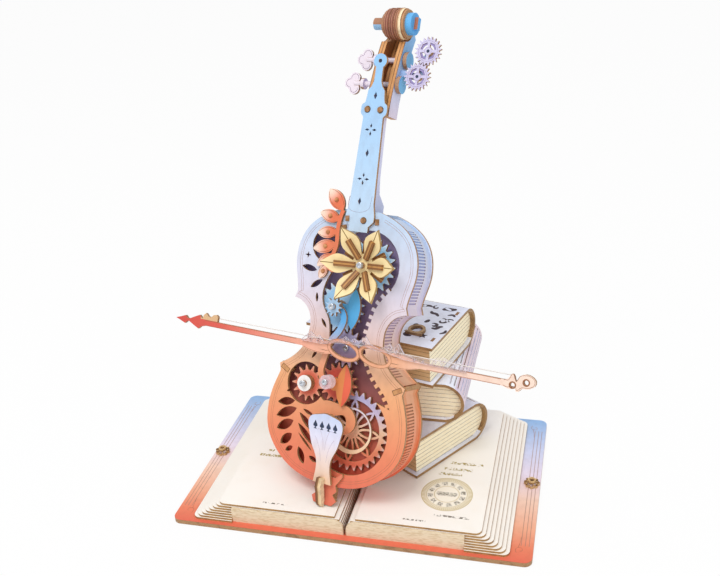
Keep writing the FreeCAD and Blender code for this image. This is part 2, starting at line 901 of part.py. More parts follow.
def plain_gear(place, teeth, phase, low, high):
    return slab(gear_face(place, teeth, gear_module, phase), low, high)


moon_leaf_shares = ((0, 0), (0.24, 0.36), (0.5, 1 / 2), (0.78, 0.34), (1, 0))


def moon_leaf(root, angle, length, width):
    sides = [(x, y) for x, y in moon_leaf_shares] + [(x, -y) for x, y in moon_leaf_shares[-2:0:-1]]
    return polygon([polar(polar(root, angle, length * x), angle + 90, width * y) for x, y in sides])


def moon_gear():
    root = pitch_radius(moon_teeth, gear_module) - dedendum_share * gear_module
    window = root - moon_rim
    rim = plain_gear(moon_spot, moon_teeth, moon_phase, moon_back, moon_front)
    rim = rim.cut(rod(moon_spot, window, moon_back - overrun, moon_front + overrun))
    length = window - gear_hub / 2 + moon_rim / 2
    spokes = []
    for spoke in range(moon_leaf_count):
        angle = 360 / moon_leaf_count * spoke
        start = polar(moon_spot, angle, gear_hub / 2)
        inside = polar(moon_spot, angle, gear_hub / 2 + 2 * moon_leaf_band)
        blade = slab(moon_leaf(start, angle, length, moon_leaf_width), moon_back, moon_front)
        hole = slab(moon_leaf(inside, angle, length - 4 * moon_leaf_band,
                              moon_leaf_width - 2 * moon_leaf_band), moon_back - overrun, moon_front + overrun)
        spokes.append(blade.cut(hole))
    hub = rod(moon_spot, gear_hub, moon_back, moon_front)
    wheel = join(rim, hub, *spokes).cut(ring_cut(moon_spot, moon_back, moon_front))
    cello("moon_gear", wheel, axle(moon_spot, moon_front))
    bite = polar(moon_spot, 45, crescent_shift)
    crescent = rod(moon_spot, crescent_radius, moon_front, moon_front + crescent_ply)
    bore = rod(bite, crescent_bore, moon_front - overrun, moon_front + crescent_ply + overrun)
    cello("moon_crescent", crescent.cut(bore))


def centre_gear():
    gear = plain_gear(centre_spot, centre_teeth, centre_phase, gear_back, gear_front)
    gear = gear.cut(ring_cut(centre_spot, gear_back, gear_front))
    pinion = plain_gear(centre_spot, pinion_teeth, centre_phase, moon_back, gear_back)
    pinion = pinion.cut(ring_cut(centre_spot, moon_back, gear_back))
    boss = rod(centre_spot, gear_hub - ply / 2, gear_front, top_layer)
    boss = boss.cut(ring_cut(centre_spot, gear_front, top_layer))
    cello("centre_gear", gear, pinion, boss, axle(centre_spot, top_layer))
    root = polar(polar(centre_spot, 0, centre_leaf_offset), -90, centre_leaf_length / 2)
    blade = slab(leaf(root, 90, centre_leaf_length, centre_leaf_width), top_layer, top_layer + ply)
    pad = rod(centre_spot, gear_hub - ply / 2, top_layer, top_layer + ply)
    cello("centre_leaf", join(blade, pad))


def output_gear():
    gear = plain_gear(output_spot, output_teeth, output_phase, gear_back, gear_front)
    gear = gear.cut(ring_cut(output_spot, gear_back, gear_front))
    drive = rod(output_spot, axle_radius, back_front + bedplate + barrel_length, gear_front)
    cello("output_gear", gear, drive)
    button = rod(output_spot, button_radius, gear_front, gear_front + button_height + ply)
    screw = rod(output_spot, screw_radius, gear_front + button_height + ply,
                gear_front + button_height + ply + screw_height)
    cello("output_button", button, screw)


def relay_gear():
    gear = plain_gear(relay_spot, relay_teeth, relay_phase, gear_back, gear_front)
    gear = gear.cut(ring_cut(relay_spot, gear_back, gear_front))
    cello("relay_gear", gear, axle(relay_spot, gear_front))


def mid_gear():
    gear = plain_gear(mid_spot, mid_teeth, mid_phase, gear_back, gear_front)
    gear = gear.cut(ring_cut(mid_spot, gear_back, gear_front))
    boss = rod(mid_spot, gear_hub - ply / 2, gear_front, top_layer)
    boss = boss.cut(ring_cut(mid_spot, gear_front, top_layer))
    hub_low = arm_lift + ply + seat_gap
    cello("mid_gear", gear, boss, axle(mid_spot, hub_low + ply))
    root = polar(polar(mid_spot, 0, mid_leaf_offset), -90, mid_leaf_length / 2)
    blade = slab(leaf(root, 90, mid_leaf_length, mid_leaf_width), top_layer, top_layer + ply)
    pad = slab(bar(mid_spot, polar(mid_spot, 0, mid_leaf_offset), gear_hub), top_layer, top_layer + ply)
    eye = rod(mid_spot, gear_hub - ply / 2, top_layer, top_layer + ply)
    cello("mid_leaf", join(blade, pad, eye).cut(ring_cut(mid_spot, top_layer, top_layer + ply)))
    hub = slab(gear_face(mid_spot, hub_teeth, hub_module, 0), hub_low, hub_low + ply)
    hub = hub.cut(ring_cut(mid_spot, hub_low, hub_low + ply))
    screw = rod(mid_spot, screw_radius, hub_low + ply, hub_low + ply + screw_height)
    cello("mid_hub_gear", hub, screw)


# Flower on the top gear: tilted petals with bars on and below them
petal_shares = ((0, 0.16), (0.2, 0.34), (0.52, 1 / 2), (0.80, 0.25), (1, 0))


def petal():
    length = petal_tip - petal_root
    upper = [(petal_root + length * x, petal_width * y) for x, y in petal_shares]
    lower = [(x, -y) for x, y in reversed(upper)]
    face = outline(upper, lower, [lower[-1], upper[0]])
    return slab(face, 0, petal_ply)


def raised(shape, root):
    # Tips the piece up about its root, so that its tip stands proud
    shape.rotate(spot(root, 0), spot(0, 1, 0), -petal_tilt)
    shape.translate(spot(0, 0, flower_lift))
    return shape


def around_flower(shape, angle):
    copy = shape.copy()
    copy.rotate(spot(0, 0), spot(0, 0, 1), angle)
    copy.translate(spot(*flower_spot))
    return copy


def flower():
    gear = plain_gear(flower_spot, flower_teeth, flower_phase, gear_back, gear_front)
    gear = gear.cut(ring_cut(flower_spot, gear_back, gear_front))
    boss = rod(flower_spot, gear_hub - ply / 2, gear_front, flower_lift - ply)
    boss = boss.cut(ring_cut(flower_spot, gear_front, flower_lift))
    screw_low = flower_lift + petal_ply
    screw = rod(flower_spot, screw_radius, screw_low, screw_low + 2 * screw_height)
    cello("flower_gear", gear, boss, axle(flower_spot, screw_low), screw)
    blade = petal()
    rib = slab(bar((petal_root, 0), (petal_root + bar_length, 0), bar_width), petal_ply,
               petal_ply + bar_height)
    lower_rib = slab(bar((0, 0), (back_bar_length, 0), bar_width), flower_lift - ply, flower_lift)
    blade = raised(blade, petal_root)
    rib = raised(rib, petal_root)
    petals = []
    ribs_on_top = []
    ribs_below = []
    step = 360 / petal_count
    for number in range(petal_count):
        petals.append(around_flower(blade, step * number + petal_start))
        ribs_on_top.append(around_flower(rib, step * number + petal_start))
        ribs_below.append(around_flower(lower_rib, step * number + petal_start + step / 2))
    disc = rod(flower_spot, petal_root + petal_ply, flower_lift, flower_lift + petal_ply)
    core = join(disc, *petals).cut(ring_cut(flower_spot, flower_lift, flower_lift + petal_ply))
    cello("flower_petals", core)
    below = join(*ribs_below).cut(ring_cut(flower_spot, flower_lift - ply, flower_lift))
    cello("flower_bars", below, *[shape.cut(core) for shape in ribs_on_top])


# Bow: stick with a looped middle, arrow tip, frog, hair and clear ornament
frog_top_shares = ((0, 0.22), (0.10, 0.23), (0.17, 0.31), (0.22, 0.46), (0.25, 0.62), (0.28, 0.68), (0.32, 0.67),
                   (0.36, 0.56), (0.39, 0.36), (0.43, 0.22), (0.46, 0.32), (0.50, 0.54), (0.55, 0.68), (0.62, 0.76),
                   (0.69, 0.80), (0.76, 0.79), (0.84, 0.74), (0.91, 0.66), (0.97, 0.54), (1, 0.40))
frog_low_shares = ((1, 0.25), (0.97, 0.10), (0.90, -0.02), (0.83, -0.12), (0.76, -0.17), (0.67, -0.17),
                   (0.60, -0.22), (0.55, -0.36), (0.50, -0.45), (0.45, -0.43), (0.42, -0.26), (0.36, -0.30),
                   (0.28, -0.35), (0.20, -0.34), (0.10, -0.27), (0, -0.22))
frog_hole_shares = ((0.33, -0.06), (0.72, 0.26))
crystal_shares = ((0, -0.6), (0.02, -0.3), (0.05, 0.25), (0.08, -0.1), (0.11, 0.05), (0.14, -0.45), (0.19, -0.2),
                  (0.235, -0.15), (0.275, 0.4), (0.305, 0.1), (0.33, 0.35), (0.36, 0.15), (0.40, 0.75), (0.43, 0.1),
                  (0.49, -0.2), (0.52, 0.1), (0.547, 0.5), (0.57, 0.1), (0.60, 0.65), (0.64, -0.2), (0.70, -0.35),
                  (0.76, -0.3), (0.82, 0), (0.87, 0.15), (0.91, -0.1), (0.95, 0.1), (1, -0.55))
arrow_shares = ((0, 0.02), (0.14, 0.13), (0.30, 0.29), (0.36, 0.13), (0.43, 0.08), (0.60, 0.30), (0.77, 0.50),
                (0.84, 0.32), (1, 0.20))
clip_shares = ((0, 0), (0.05, 0.65), (0.20, 1.0), (0.36, 0.60), (0.55, 0.50), (0.70, 0.90), (0.88, 1.0), (1, 0.80),
               (1, 0))


def bow():
    low = bow_lift
    high = bow_lift + ply
    left_end = bow_left + arrow_length
    right_end = bow_right - frog_length
    pieces = []
    for middle in (left_loop_x, right_loop_x):
        hoop = slab(ellipse((middle, bow_line), loop_half_length, loop_half_width), low, high)
        hole = slab(ellipse((middle, bow_line), loop_half_length - loop_band, loop_half_width - loop_band),
                    low - overrun, high + overrun)
        for shape in (hoop, hole):
            shape.rotate(spot(middle, bow_line), spot(0, 0, 1), loop_tilt)
        pieces.append((hoop, hole))
    loops = [hoop.cut(hole) for hoop, hole in pieces]
    left_join = left_loop_x - loop_half_length + loop_band / 2
    right_join = right_loop_x + loop_half_length - loop_band / 2
    left_stick = slab(bar((left_end, bow_line), (left_join, bow_line), stick_width), low, high)
    right_stick = slab(bar((right_join, bow_line), (right_end, bow_line), stick_width), low, high)
    left_fork = slab(leaf((left_join - 2 * loop_half_length, bow_line), 0,
                          3 * loop_half_length, fork_width), low, high)
    right_fork = slab(leaf((right_join + 2 * loop_half_length, bow_line), 180,
                           3 * loop_half_length, fork_width), low, high)
    holes = [hole for hoop, hole in pieces]
    slit = fork_width - 2 * fork_band
    for start, angle in ((left_join - loop_half_length, 0), (right_join + loop_half_length, 180)):
        holes.append(slab(leaf((start, bow_line), angle, 3 * loop_half_length / 2, slit), low - overrun,
                          high + overrun))
    stick = join(cut(join(left_fork, right_fork), holes), *loops, left_stick, right_stick)
    cello("bow_stick", stick)
    upper = [(bow_left + arrow_length * x, bow_line + arrow_width * y) for x, y in arrow_shares]
    lower = [(x, 2 * bow_line - y) for x, y in reversed(upper)]
    tip = slab(polygon(upper + lower), low, high)
    clip_left = left_end - clip_back
    seat = bow_line + stick_width / 2
    clip = slab(polygon([(clip_left + clip_length * x, seat + clip_height * y) for x, y in clip_shares]), low, high)
    cello("bow_tip", tip, clip.cut(tip))
    top = [(right_end + frog_length * x, bow_line + frog_width * y) for x, y in frog_top_shares]
    under = [(right_end + frog_length * x, bow_line + frog_width * y) for x, y in frog_low_shares]
    frog = slab(polygon(top + under), low, high)
    eyes = [rod((right_end + frog_length * x, bow_line + frog_width * y), frog_hole, low - overrun, high + overrun)
            for x, y in frog_hole_shares]
    cello("bow_frog", cut(frog, eyes))
    behind = low - hair_radius - running_gap
    start = spot(clip_left + clip_length * 3 / 4, seat + clip_height / 2, behind)
    end = spot(right_end + frog_length / 3, bow_line + hair_rise_right, behind)
    cello("bow_hair", Part.makeCylinder(hair_radius, (end - start).Length, start, end - start))
    span = crystal_right - crystal_left
    ridge = bow_line + loop_half_width
    wave = [(crystal_left + span * x, ridge + loop_half_width * y) for x, y in crystal_shares]
    foot = [(wave[-1][0], bow_line), (wave[0][0], bow_line)]
    cello("bow_crystal", slab(polygon(wave + foot), high, high + crystal_ply))


arm_shares = ((0, 0), (0.58, 0.05), (0.76, 0.13), (0.68, 0.22), (0.38, 0.33), (-0.05, 0.43), (-0.36, 0.54),
              (-0.60, 0.70), (-0.80, 0.84), (-0.74, 0.94), (-0.40, 1.0), (0, 1))


def link_arm():
    # Swings on the middle gear's axle and follows the pin below
    drop = mid_spot[1] - crystal_y
    lean = crystal_x - mid_spot[0]
    sweep = 2 * arm_eye
    middle = [(mid_spot[0] + lean * y + sweep * x, mid_spot[1] - drop * y) for x, y in arm_shares]
    curve = spline(middle)
    steps = 2 * len(arm_shares)
    near = [shifted_point(curve, step / steps, arm_width / 2) for step in range(steps + 1)]
    far = [shifted_point(curve, step / steps, -arm_width / 2) for step in range(steps + 1)]
    strip = outline(near, [near[-1], far[-1]], far[::-1], [far[0], near[0]])
    low = arm_lift
    high = arm_lift + ply
    eye = rod(mid_spot, arm_eye, low, high)
    foot = rod((crystal_x, crystal_y), arm_width / 2, low, high)
    bore = rod(mid_spot, axle_radius + pivot_gap, low - overrun, high + overrun)
    arm = join(slab(strip, low, high), eye, foot).cut(bore)
    at_bow = curve.value(curve.parameter(spot(left_loop_x - loop_half_length, bow_line)))
    crossing = (at_bow.x, at_bow.y)
    spacer = rod(crossing, spacer_radius, high, bow_lift)
    cello("link_arm", arm, spacer)
    pin = rod((crystal_x, crystal_y), crystal_radius, high, high + crystal_height)
    cello("crystal_pin", pin)


# Tailpiece on two posts, the curved hook at its foot, and the endpin
tail_shares = ((0, 1.0), (0.45, 0.975), (0.90, 0.925), (1.0, 0.86), (0.93, 0.72), (0.72, 0.52),
               (0.45, 0.36), (0.40, 0.26), (0.44, 0.14), (0.53, 0))


def tilted(shape):
    shape.rotate(spot(0, tailpiece_foot, tailpiece_lift), spot(1, 0, 0), tailpiece_tilt)
    return shape


def tail_face():
    height = tailpiece_top - tailpiece_foot
    right = [(tailpiece_half_top * x, tailpiece_foot + height * y) for x, y in tail_shares]
    left = [(-x, y) for x, y in reversed(right)]
    return outline(left[:-1] + right, [right[-1], left[0]])


def tail_plate():
    return tilted(slab(tail_face(), tailpiece_lift, tailpiece_lift + ply))


def tailpiece():
    height = tailpiece_top - tailpiece_foot
    face = tail_face()
    plate = slab(face, tailpiece_lift, tailpiece_lift + ply)
    holes = []
    for number in range(fleur_count):
        x = fleur_pitch * (number - (fleur_count - 1) / 2)
        y = tailpiece_top - height / 5
        holes.append(slab(diamond((x, y), 90, fleur_length, fleur_width), tailpiece_lift - overrun,
                          tailpiece_lift + ply + overrun))
    plate = tilted(cut(plate, holes))
    rise = tan(radians(tailpiece_tilt))
    solids = [plate]
    for level in (tailpiece_foot + height / 6, tailpiece_foot + height * 9 / 10):
        place = (-post_radius, level)
        top = tailpiece_lift + (level - tailpiece_foot) * rise
        post = rod(place, post_radius, 0, top + post_radius)
        solids.append(post.cut(tilted(slab(face, tailpiece_lift, tailpiece_lift + 2 * ply))))
    cello("tailpiece", *solids)


# Shield plate on the front of the endpin, as shares of its half-width and height
shield_shares = ((-1.0, -1.0), (-1.25, -0.72), (-0.7, -0.5), (-0.9, -0.1), (-0.8, 0.3), (1.2, 0.3), (1.9, 0.55),
                 (2.0, 0.42), (1.3, -0.05), (1.5, -0.3), (1.1, -0.5), (1.6, -0.75), (1.1, -1.0))


def endpin_level(height):
    # How far down the body's line the page lies at this height off the front face
    return (page_top - cello_base.z - out_axis.z * height) / up_axis.z


def hook_and_endpin():
    front = tailpiece_lift + ply + seat_gap
    brow = front + hook_band
    half = hook_width / 2
    badge = ply + seat_gap
    foot = endpin_level(badge) + seat_gap
    side = [(tailpiece_foot + hook_band, front), (tailpiece_foot + hook_band, brow),
            (0, brow + hook_band / 4), (-hook_band, brow - hook_band / 4),
            (foot + hook_band / 2, badge + hook_band), (foot, badge + hook_band / 2), (foot, badge),
            (foot + hook_band, badge), (-hook_band / 3, front - hook_band / 4), (0, front)]
    cello("tail_hook", side_profile(side, -half, half).cut(tail_plate()))
    top = endpin_half * 5 / 6
    front_foot = endpin_level(0) + seat_gap
    back_foot = endpin_level(-endpin_thick) + seat_gap
    block = side_profile([(top, 0), (top, -endpin_thick), (back_foot, -endpin_thick), (front_foot, 0)],
                         -endpin_half, endpin_half)
    block = block.cut(slab(body_face(), -2 * endpin_thick, 0))
    block = max(block.Solids, key=lambda solid: solid.Volume)
    shield = [(endpin_half * x, tailpiece_foot - (front_foot - tailpiece_foot) * y) for x, y in shield_shares]
    shield = slab(polygon(shield), 0, ply)
    floor = side_profile([(front_foot, 0), (endpin_level(ply) + seat_gap, ply),
                          (2 * front_foot, ply), (2 * front_foot, 0)], -2 * lower_half, 2 * lower_half)
    cello("endpin_block", block, shield.cut(floor))


# Fingerboard, neck and heel
def fingerboard():
    # Foot tab, board, lobes for two screws, and the tongue with its eye
    foot = fingerboard_half_foot
    tab = foot * 2 / 3
    step = (fingerboard_shoulder - fingerboard_foot) / 2
    right = [(tab, fingerboard_foot), (tab, fingerboard_foot + step / 2), (foot, fingerboard_foot + step),
             (foot, fingerboard_shoulder - step / 2), (fingerboard_half_low, fingerboard_shoulder + step / 2),
             (fingerboard_half_nut, nut_level - lobe_length / 2), (lobe_half, nut_level - lobe_length / 4),
             (lobe_half, nut_level + lobe_length / 4), (fingerboard_half_nut, nut_level + lobe_length / 2),
             (fingerboard_half_nut, nut_level + lobe_length), (tongue_half, nut_level + 3 * lobe_length / 2),
             (tongue_half, tongue_eye)]
    left = [(-x, y) for x, y in reversed(right)]
    board = slab(polygon(right + left), 0, ply)
    eye = rod((0, tongue_eye), tongue_radius, 0, ply)
    holes = [rod((0, tongue_eye), tongue_hole, -overrun, ply + overrun)]
    for side in (-1, 1):
        holes.append(rod((side * lobe_half / 2, nut_level), screw_hole, -overrun, ply + overrun))
    for level in (0.07, 0.52, 0.87):
        middle = (0, fingerboard_shoulder + (nut_level - fingerboard_shoulder) * level)
        holes.append(slab(diamond(polar(middle, -90, fleur_length / 2), 90, fleur_length, fleur_width),
                          -overrun, ply + overrun))
    for level in (0.25, 0.70):
        middle = (0, fingerboard_shoulder + (nut_level - fingerboard_shoulder) * level)
        for angle in (0, 90, 180, 270):
            holes.append(slab(diamond(polar(middle, angle, fleur_width / 2), angle, fleur_length,
                                      fleur_width / 2), -overrun, ply + overrun))
    cello("fingerboard", cut(join(board, eye), holes))


def neck():
    top = body_length
    nut = nut_level + lobe_length / 2
    profile = [(top, 0), (nut, 0), (nut, -neck_depth * 3 / 4), (top + heel_depth, -neck_depth),
               (top + heel_depth / 2, -neck_depth * 6 / 5), (top + heel_depth / 6, -heel_depth), (top, -heel_depth)]
    core = side_profile(profile, -cheek_inner, cheek_inner)
    head = upper_stretch[-1][1]
    tenon = Part.makeBox(2 * cheek_inner, top - head, heel_depth, spot(-cheek_inner, head, -heel_depth))
    cello("neck", join(core, tenon))


# Pegbox cheeks, sweeping back and up into the scroll
cheek_front_shares = ((0, 0.0), (0.22, 0.10), (0.50, 0.42), (0.76, 0.84), (0.90, 1.15))


def pegbox():
    start = nut_level - cheek_lap
    rise = drum_level - start
    set_back = neck_depth
    front = [(start + rise * x, -ply - set_back * y) for x, y in cheek_front_shares]
    back = [(level, height - cheek_depth) for level, height in reversed(front)]
    crown = [(drum_level, -drum_depth - drum_radius), (drum_level, -drum_depth)]
    right = side_profile_spline(front, back, crown, cheek_inner, cheek_outer)
    hub = cross_rod(drum_level, -drum_depth, hub_radius + running_gap, -cheek_outer - overrun,
                    cheek_outer + overrun)
    drum = cross_rod(drum_level, -drum_depth, drum_radius + seat_gap, -cheek_outer - overrun,
                     cheek_outer + overrun)
    bores = [cross_rod(level, -depth, peg_radius + running_gap, -cheek_outer - overrun,
                       cheek_outer + overrun) for level, depth in zip(peg_levels, peg_depths)]
    neck_top = nut_level + lobe_length / 2
    neck_space = Part.makeBox(2 * cheek_outer, neck_top - body_length, 2 * heel_depth,
                              spot(-cheek_outer, body_length, -heel_depth))
    right = cut(right.cut(drum), bores)
    right = max(right.Solids, key=lambda solid: solid.Volume)
    floor = cut(floor_block(front), bores + [drum, neck_space])
    floor = max(floor.Solids, key=lambda solid: solid.Volume)
    cello("pegbox", right, mirrored(right), floor)


def side_profile_spline(front, back, crown, left, right):
    edges = []
    for points in (front, [front[-1], crown[1]], [crown[1], crown[0]], [crown[0], back[0]], back,
                   [back[-1], front[0]]):
        places = [spot(left, level, height) for level, height in points]
        if len(places) == 2:
            edges.append(Part.LineSegment(*places).toShape())
        else:
            curve = Part.BSplineCurve()
            curve.interpolate(places)
            edges.append(curve.toShape())
    return Part.Face(Part.Wire(edges)).extrude(spot(right - left, 0, 0))


def floor_block(front):
    # The back wall between the cheeks
    inner = [(level, height - cheek_depth + ply) for level, height in front]
    outer = [(level, height - cheek_depth) for level, height in reversed(front)]
    return side_profile(inner + outer, -cheek_inner, cheek_inner)


# Scroll drum: a stack of discs on a cross axle, with a hub at each side
def scroll():
    total = drum_disc * drum_disc_count
    discs = []
    for number in range(drum_disc_count):
        left = -total / 2 + number * drum_disc
        bow_in = abs(number - (drum_disc_count - 1) / 2) / (drum_disc_count / 2)
        radius = drum_radius - drum_waist * bow_in * bow_in - (drum_groove if number % 2 else 0)
        discs.append(cross_rod(drum_level, -drum_depth, radius, left, left + drum_disc))
    half = total / 2
    left_hub = cross_rod(drum_level, -drum_depth, hub_radius, -half - hub_length, -half)
    cap = cross_rod(drum_level, -drum_depth, cap_radius, half, half + cap_length)
    block = Part.makeBox(hub_length - cap_length, 2 * hub_radius, hub_radius,
                         spot(half + cap_length, drum_level - hub_radius, -drum_depth - hub_radius / 2))
    cello("scroll_drum", join(*discs), left_hub, cap, block)
    bracket_low = -scroll_gear_depth - layer_gap - ply
    lower_spot = (lower_scroll_u, lower_scroll_v)
    limbs = [slab(bar((cheek_inner, bracket_root), lower_spot, bracket_width), bracket_low, bracket_low + ply),
             slab(bar(lower_spot, upper_scroll_spot, bracket_width), bracket_low, bracket_low + ply),
             rod(lower_spot, bracket_width / 2, bracket_low, bracket_low + ply),
             rod(upper_scroll_spot, bracket_width / 2, bracket_low, bracket_low + ply)]
    cheek_space = slab(rectangle(-cheek_outer, cheek_outer, 0, 2 * drum_level), bracket_low - overrun, 0)
    plate = join(*limbs).cut(cheek_space)
    for place in (lower_spot, upper_scroll_spot):
        plate = plate.cut(rod(place, axle_radius / 2 + running_gap, bracket_low - overrun,
                              bracket_low + ply + overrun))
    cello("scroll_bracket", plate)


# Corners of one window of a scroll gear: degrees off its middle, and share of the root radius
window_shares = ((-30, 0.40), (-34, 0.74), (0, 0.80), (34, 0.74), (30, 0.40), (0, 0.36))


def scroll_gears():
    low = -scroll_gear_depth
    high = low + scroll_gear_ply
    places = (("lower", (lower_scroll_u, lower_scroll_v), lower_scroll_phase),
              ("upper", upper_scroll_spot, upper_scroll_phase))
    root = pitch_radius(scroll_teeth, scroll_module) - dedendum_share * scroll_module
    for name, place, phase in places:
        wheel = slab(gear_face(place, scroll_teeth, scroll_module, phase), low, high)
        windows = [slab(polygon([polar(place, angle + side, root * reach) for side, reach in window_shares]),
                        low - overrun, high + overrun) for angle in (45, 135, 225, 315)]
        wheel = cut(wheel, windows)
        pin = rod(place, axle_radius / 2, low - layer_gap - ply, low)
        cello("scroll_gear_" + name, join(wheel, pin))


# Tuning pegs: clover head, round neck through both cheeks, and a disc at the far side
def pegs():
    for name, level, depth, peg_head in zip(("lower", "upper"), peg_levels, peg_depths, peg_heads):
        head = (peg_head - clover_spread, level)
        lobes = [rod(polar(head, angle, clover_spread), clover_radius, -depth - ply / 2, -depth + ply / 2)
                 for angle in (90, 180, 270)]
        stem = cross_rod(level, -depth, peg_radius, peg_head - clover_spread, cheek_outer + peg_disc_gap)
        disc_left = cheek_outer + peg_disc_gap
        disc = cross_rod(level, -depth, peg_disc_radius, disc_left, disc_left + peg_disc_length)
        collar = cross_rod(level, -depth, 2 * peg_radius, peg_head + ply, peg_head + 2 * ply)
        cello("peg_" + name, join(stem, collar, *lobes), disc)


# Leaf vine with its studs, lying on the front plate
vine_shares = ((-0.285, 0.985, 133, 0.40, 0.23), (-0.323, 0.950, 167, 0.352, 0.19), (-0.335, 0.906, 188, 0.338, 0.18),
               (-0.325, 0.862, 196, 0.40, 0.20), (-0.364, 0.8235, 219, 0.314, 0.17), (-0.449, 0.785, 247, 0.24, 0.14))
vine_curl_share = 0.21


def leaf_vine():
    roots = [(upper_half * x, body_length * y) for x, y, angle, length, width in vine_shares]
    curve = spline(roots)
    steps = 2 * len(roots)
    near = [shifted_point(curve, step / steps, vine_band / 2) for step in range(steps + 1)]
    far = [shifted_point(curve, step / steps, -vine_band / 2) for step in range(steps + 1)]
    stem = slab(outline(near, [near[-1], far[-1]], far[::-1], [far[0], near[0]]), 0, ply)
    blades = []
    for root, (x, y, angle, length, width) in zip(roots, vine_shares):
        blades.append(slab(leaf(root, angle, upper_half * length, upper_half * width), 0, ply))
    curl = leaf(roots[-1], vine_curl_angle, upper_half * vine_curl_share, 2 * vine_band)
    blades.append(slab(curl, 0, ply))
    cello("leaf_vine", join(stem, *blades))


# Musical movement on the back plate, behind the left lower bout
def movement():
    floor = back_front
    top = floor + bedplate
    bed = slab(rounded(movement_left, movement_right, movement_low, movement_high, bedplate), floor, top)
    bed = bed.cut(rod(output_spot, axle_radius + running_gap, floor - overrun, top + overrun))
    barrel = rod(output_spot, barrel_radius, top + seat_gap, top + barrel_length)
    cello("spring_barrel", barrel)
    cylinder_height = top + cylinder_radius + seat_gap
    half = cylinder_length / 2
    drum = cross_rod(cylinder_v, cylinder_height, cylinder_radius, cylinder_u - half, cylinder_u + half)
    stub = axle_radius / 2
    shaft = cross_rod(cylinder_v, cylinder_height, stub, cylinder_u - half - 2 * ply,
                      cylinder_u + half + 2 * ply)
    cello("pinned_cylinder", join(drum, shaft))
    ears = []
    for side in (-1, 1):
        inner = cylinder_u + side * (half + seat_gap)
        outer = cylinder_u + side * (half + seat_gap + ply)
        left = min(inner, outer)
        ear = Part.makeBox(ply, 2 * ply, cylinder_height - top + ply, spot(left, cylinder_v - ply, top))
        ears.append(ear.cut(cross_rod(cylinder_v, cylinder_height, stub + running_gap, left - overrun,
                                      left + ply + overrun)))
    cello("movement_bedplate", bed, *ears)
    comb_low = cylinder_height - comb_ply / 2
    comb_root = cylinder_v - cylinder_radius - comb_width
    comb = Part.makeBox(comb_length, comb_width - seat_gap, comb_ply,
                        spot(cylinder_u - comb_length / 2, comb_root, comb_low))
    slots = []
    pitch = comb_length / comb_teeth
    for number in range(1, comb_teeth):
        x = cylinder_u - comb_length / 2 + pitch * number
        slots.append(Part.makeBox(comb_slot, comb_width * 2 / 3, 2 * comb_ply,
                                  spot(x - comb_slot / 2, comb_root + comb_width / 3, comb_low - comb_ply / 2)))
    block = Part.makeBox(comb_length, comb_width / 3, comb_low - top,
                         spot(cylinder_u - comb_length / 2, comb_root, top))
    cello("steel_comb", cut(comb, slots), block)
    fly_low = top + seat_gap
    place = (governor_u, governor_v)
    spindle = rod(place, stub, fly_low, fly_low + fly_length)
    fly = slab(bar(polar(place, 30, fly_radius), polar(place, 210, fly_radius), ply / 2), fly_low + ply,
               fly_low + fly_length)
    cello("governor_fly", join(spindle, fly))


def winding_key():
    top = back_back - key_clearance
    low = top - key_shaft
    sleeve = rod(output_spot, 2 * axle_radius, low, top)
    stem = rod(output_spot, axle_radius, top, back_front + bedplate)
    handle = slab(bar(polar(output_spot, 180, key_width / 2), polar(output_spot, 0, key_width / 2), ply),
                  low - key_height, low)
    cello("winding_key", join(sleeve, stem, handle))


base_plate()
pages()
front_panels()
clasps()
books()
ribs()
corner_posts()
front_plate()
mid_plate()
back_plate()
posts()
moon_gear()
centre_gear()
output_gear()
relay_gear()
mid_gear()
flower()
bow()
link_arm()
tailpiece()
hook_and_endpin()
fingerboard()
neck()
pegbox()
scroll()
scroll_gears()
pegs()
leaf_vine()
movement()
winding_key()
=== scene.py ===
import math

import bpy
from mathutils import Matrix, Vector


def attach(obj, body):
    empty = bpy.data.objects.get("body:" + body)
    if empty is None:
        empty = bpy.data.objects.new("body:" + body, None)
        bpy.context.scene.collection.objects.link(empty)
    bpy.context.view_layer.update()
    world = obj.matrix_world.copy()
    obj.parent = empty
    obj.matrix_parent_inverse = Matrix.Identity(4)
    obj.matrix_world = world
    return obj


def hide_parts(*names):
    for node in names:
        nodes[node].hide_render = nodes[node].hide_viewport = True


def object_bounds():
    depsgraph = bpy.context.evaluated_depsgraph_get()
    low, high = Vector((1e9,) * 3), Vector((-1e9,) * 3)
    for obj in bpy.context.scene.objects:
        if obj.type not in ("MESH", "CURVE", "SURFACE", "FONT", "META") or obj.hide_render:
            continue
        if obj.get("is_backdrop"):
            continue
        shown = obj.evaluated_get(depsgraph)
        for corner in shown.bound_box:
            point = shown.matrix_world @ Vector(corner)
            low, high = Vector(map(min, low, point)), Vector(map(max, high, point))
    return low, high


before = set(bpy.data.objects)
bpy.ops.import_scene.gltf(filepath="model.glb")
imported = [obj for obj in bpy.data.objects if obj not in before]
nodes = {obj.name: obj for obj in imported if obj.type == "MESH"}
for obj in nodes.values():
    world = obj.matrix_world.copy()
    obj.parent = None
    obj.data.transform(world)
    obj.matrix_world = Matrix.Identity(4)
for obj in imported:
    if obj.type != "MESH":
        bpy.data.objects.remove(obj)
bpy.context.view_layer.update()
print("frame loaded with", len(nodes), "nodes")

mm = 0.001
scene = bpy.context.scene


def tone(code):
    # A colour written as on screen, turned to the linear values a shader takes
    parts = [int(code[i:i + 2], 16) / 255 for i in (0, 2, 4)]
    return tuple(p / 12.92 if p <= 0.04045 else ((p + 0.055) / 1.055) ** 2.4 for p in parts) + (1,)


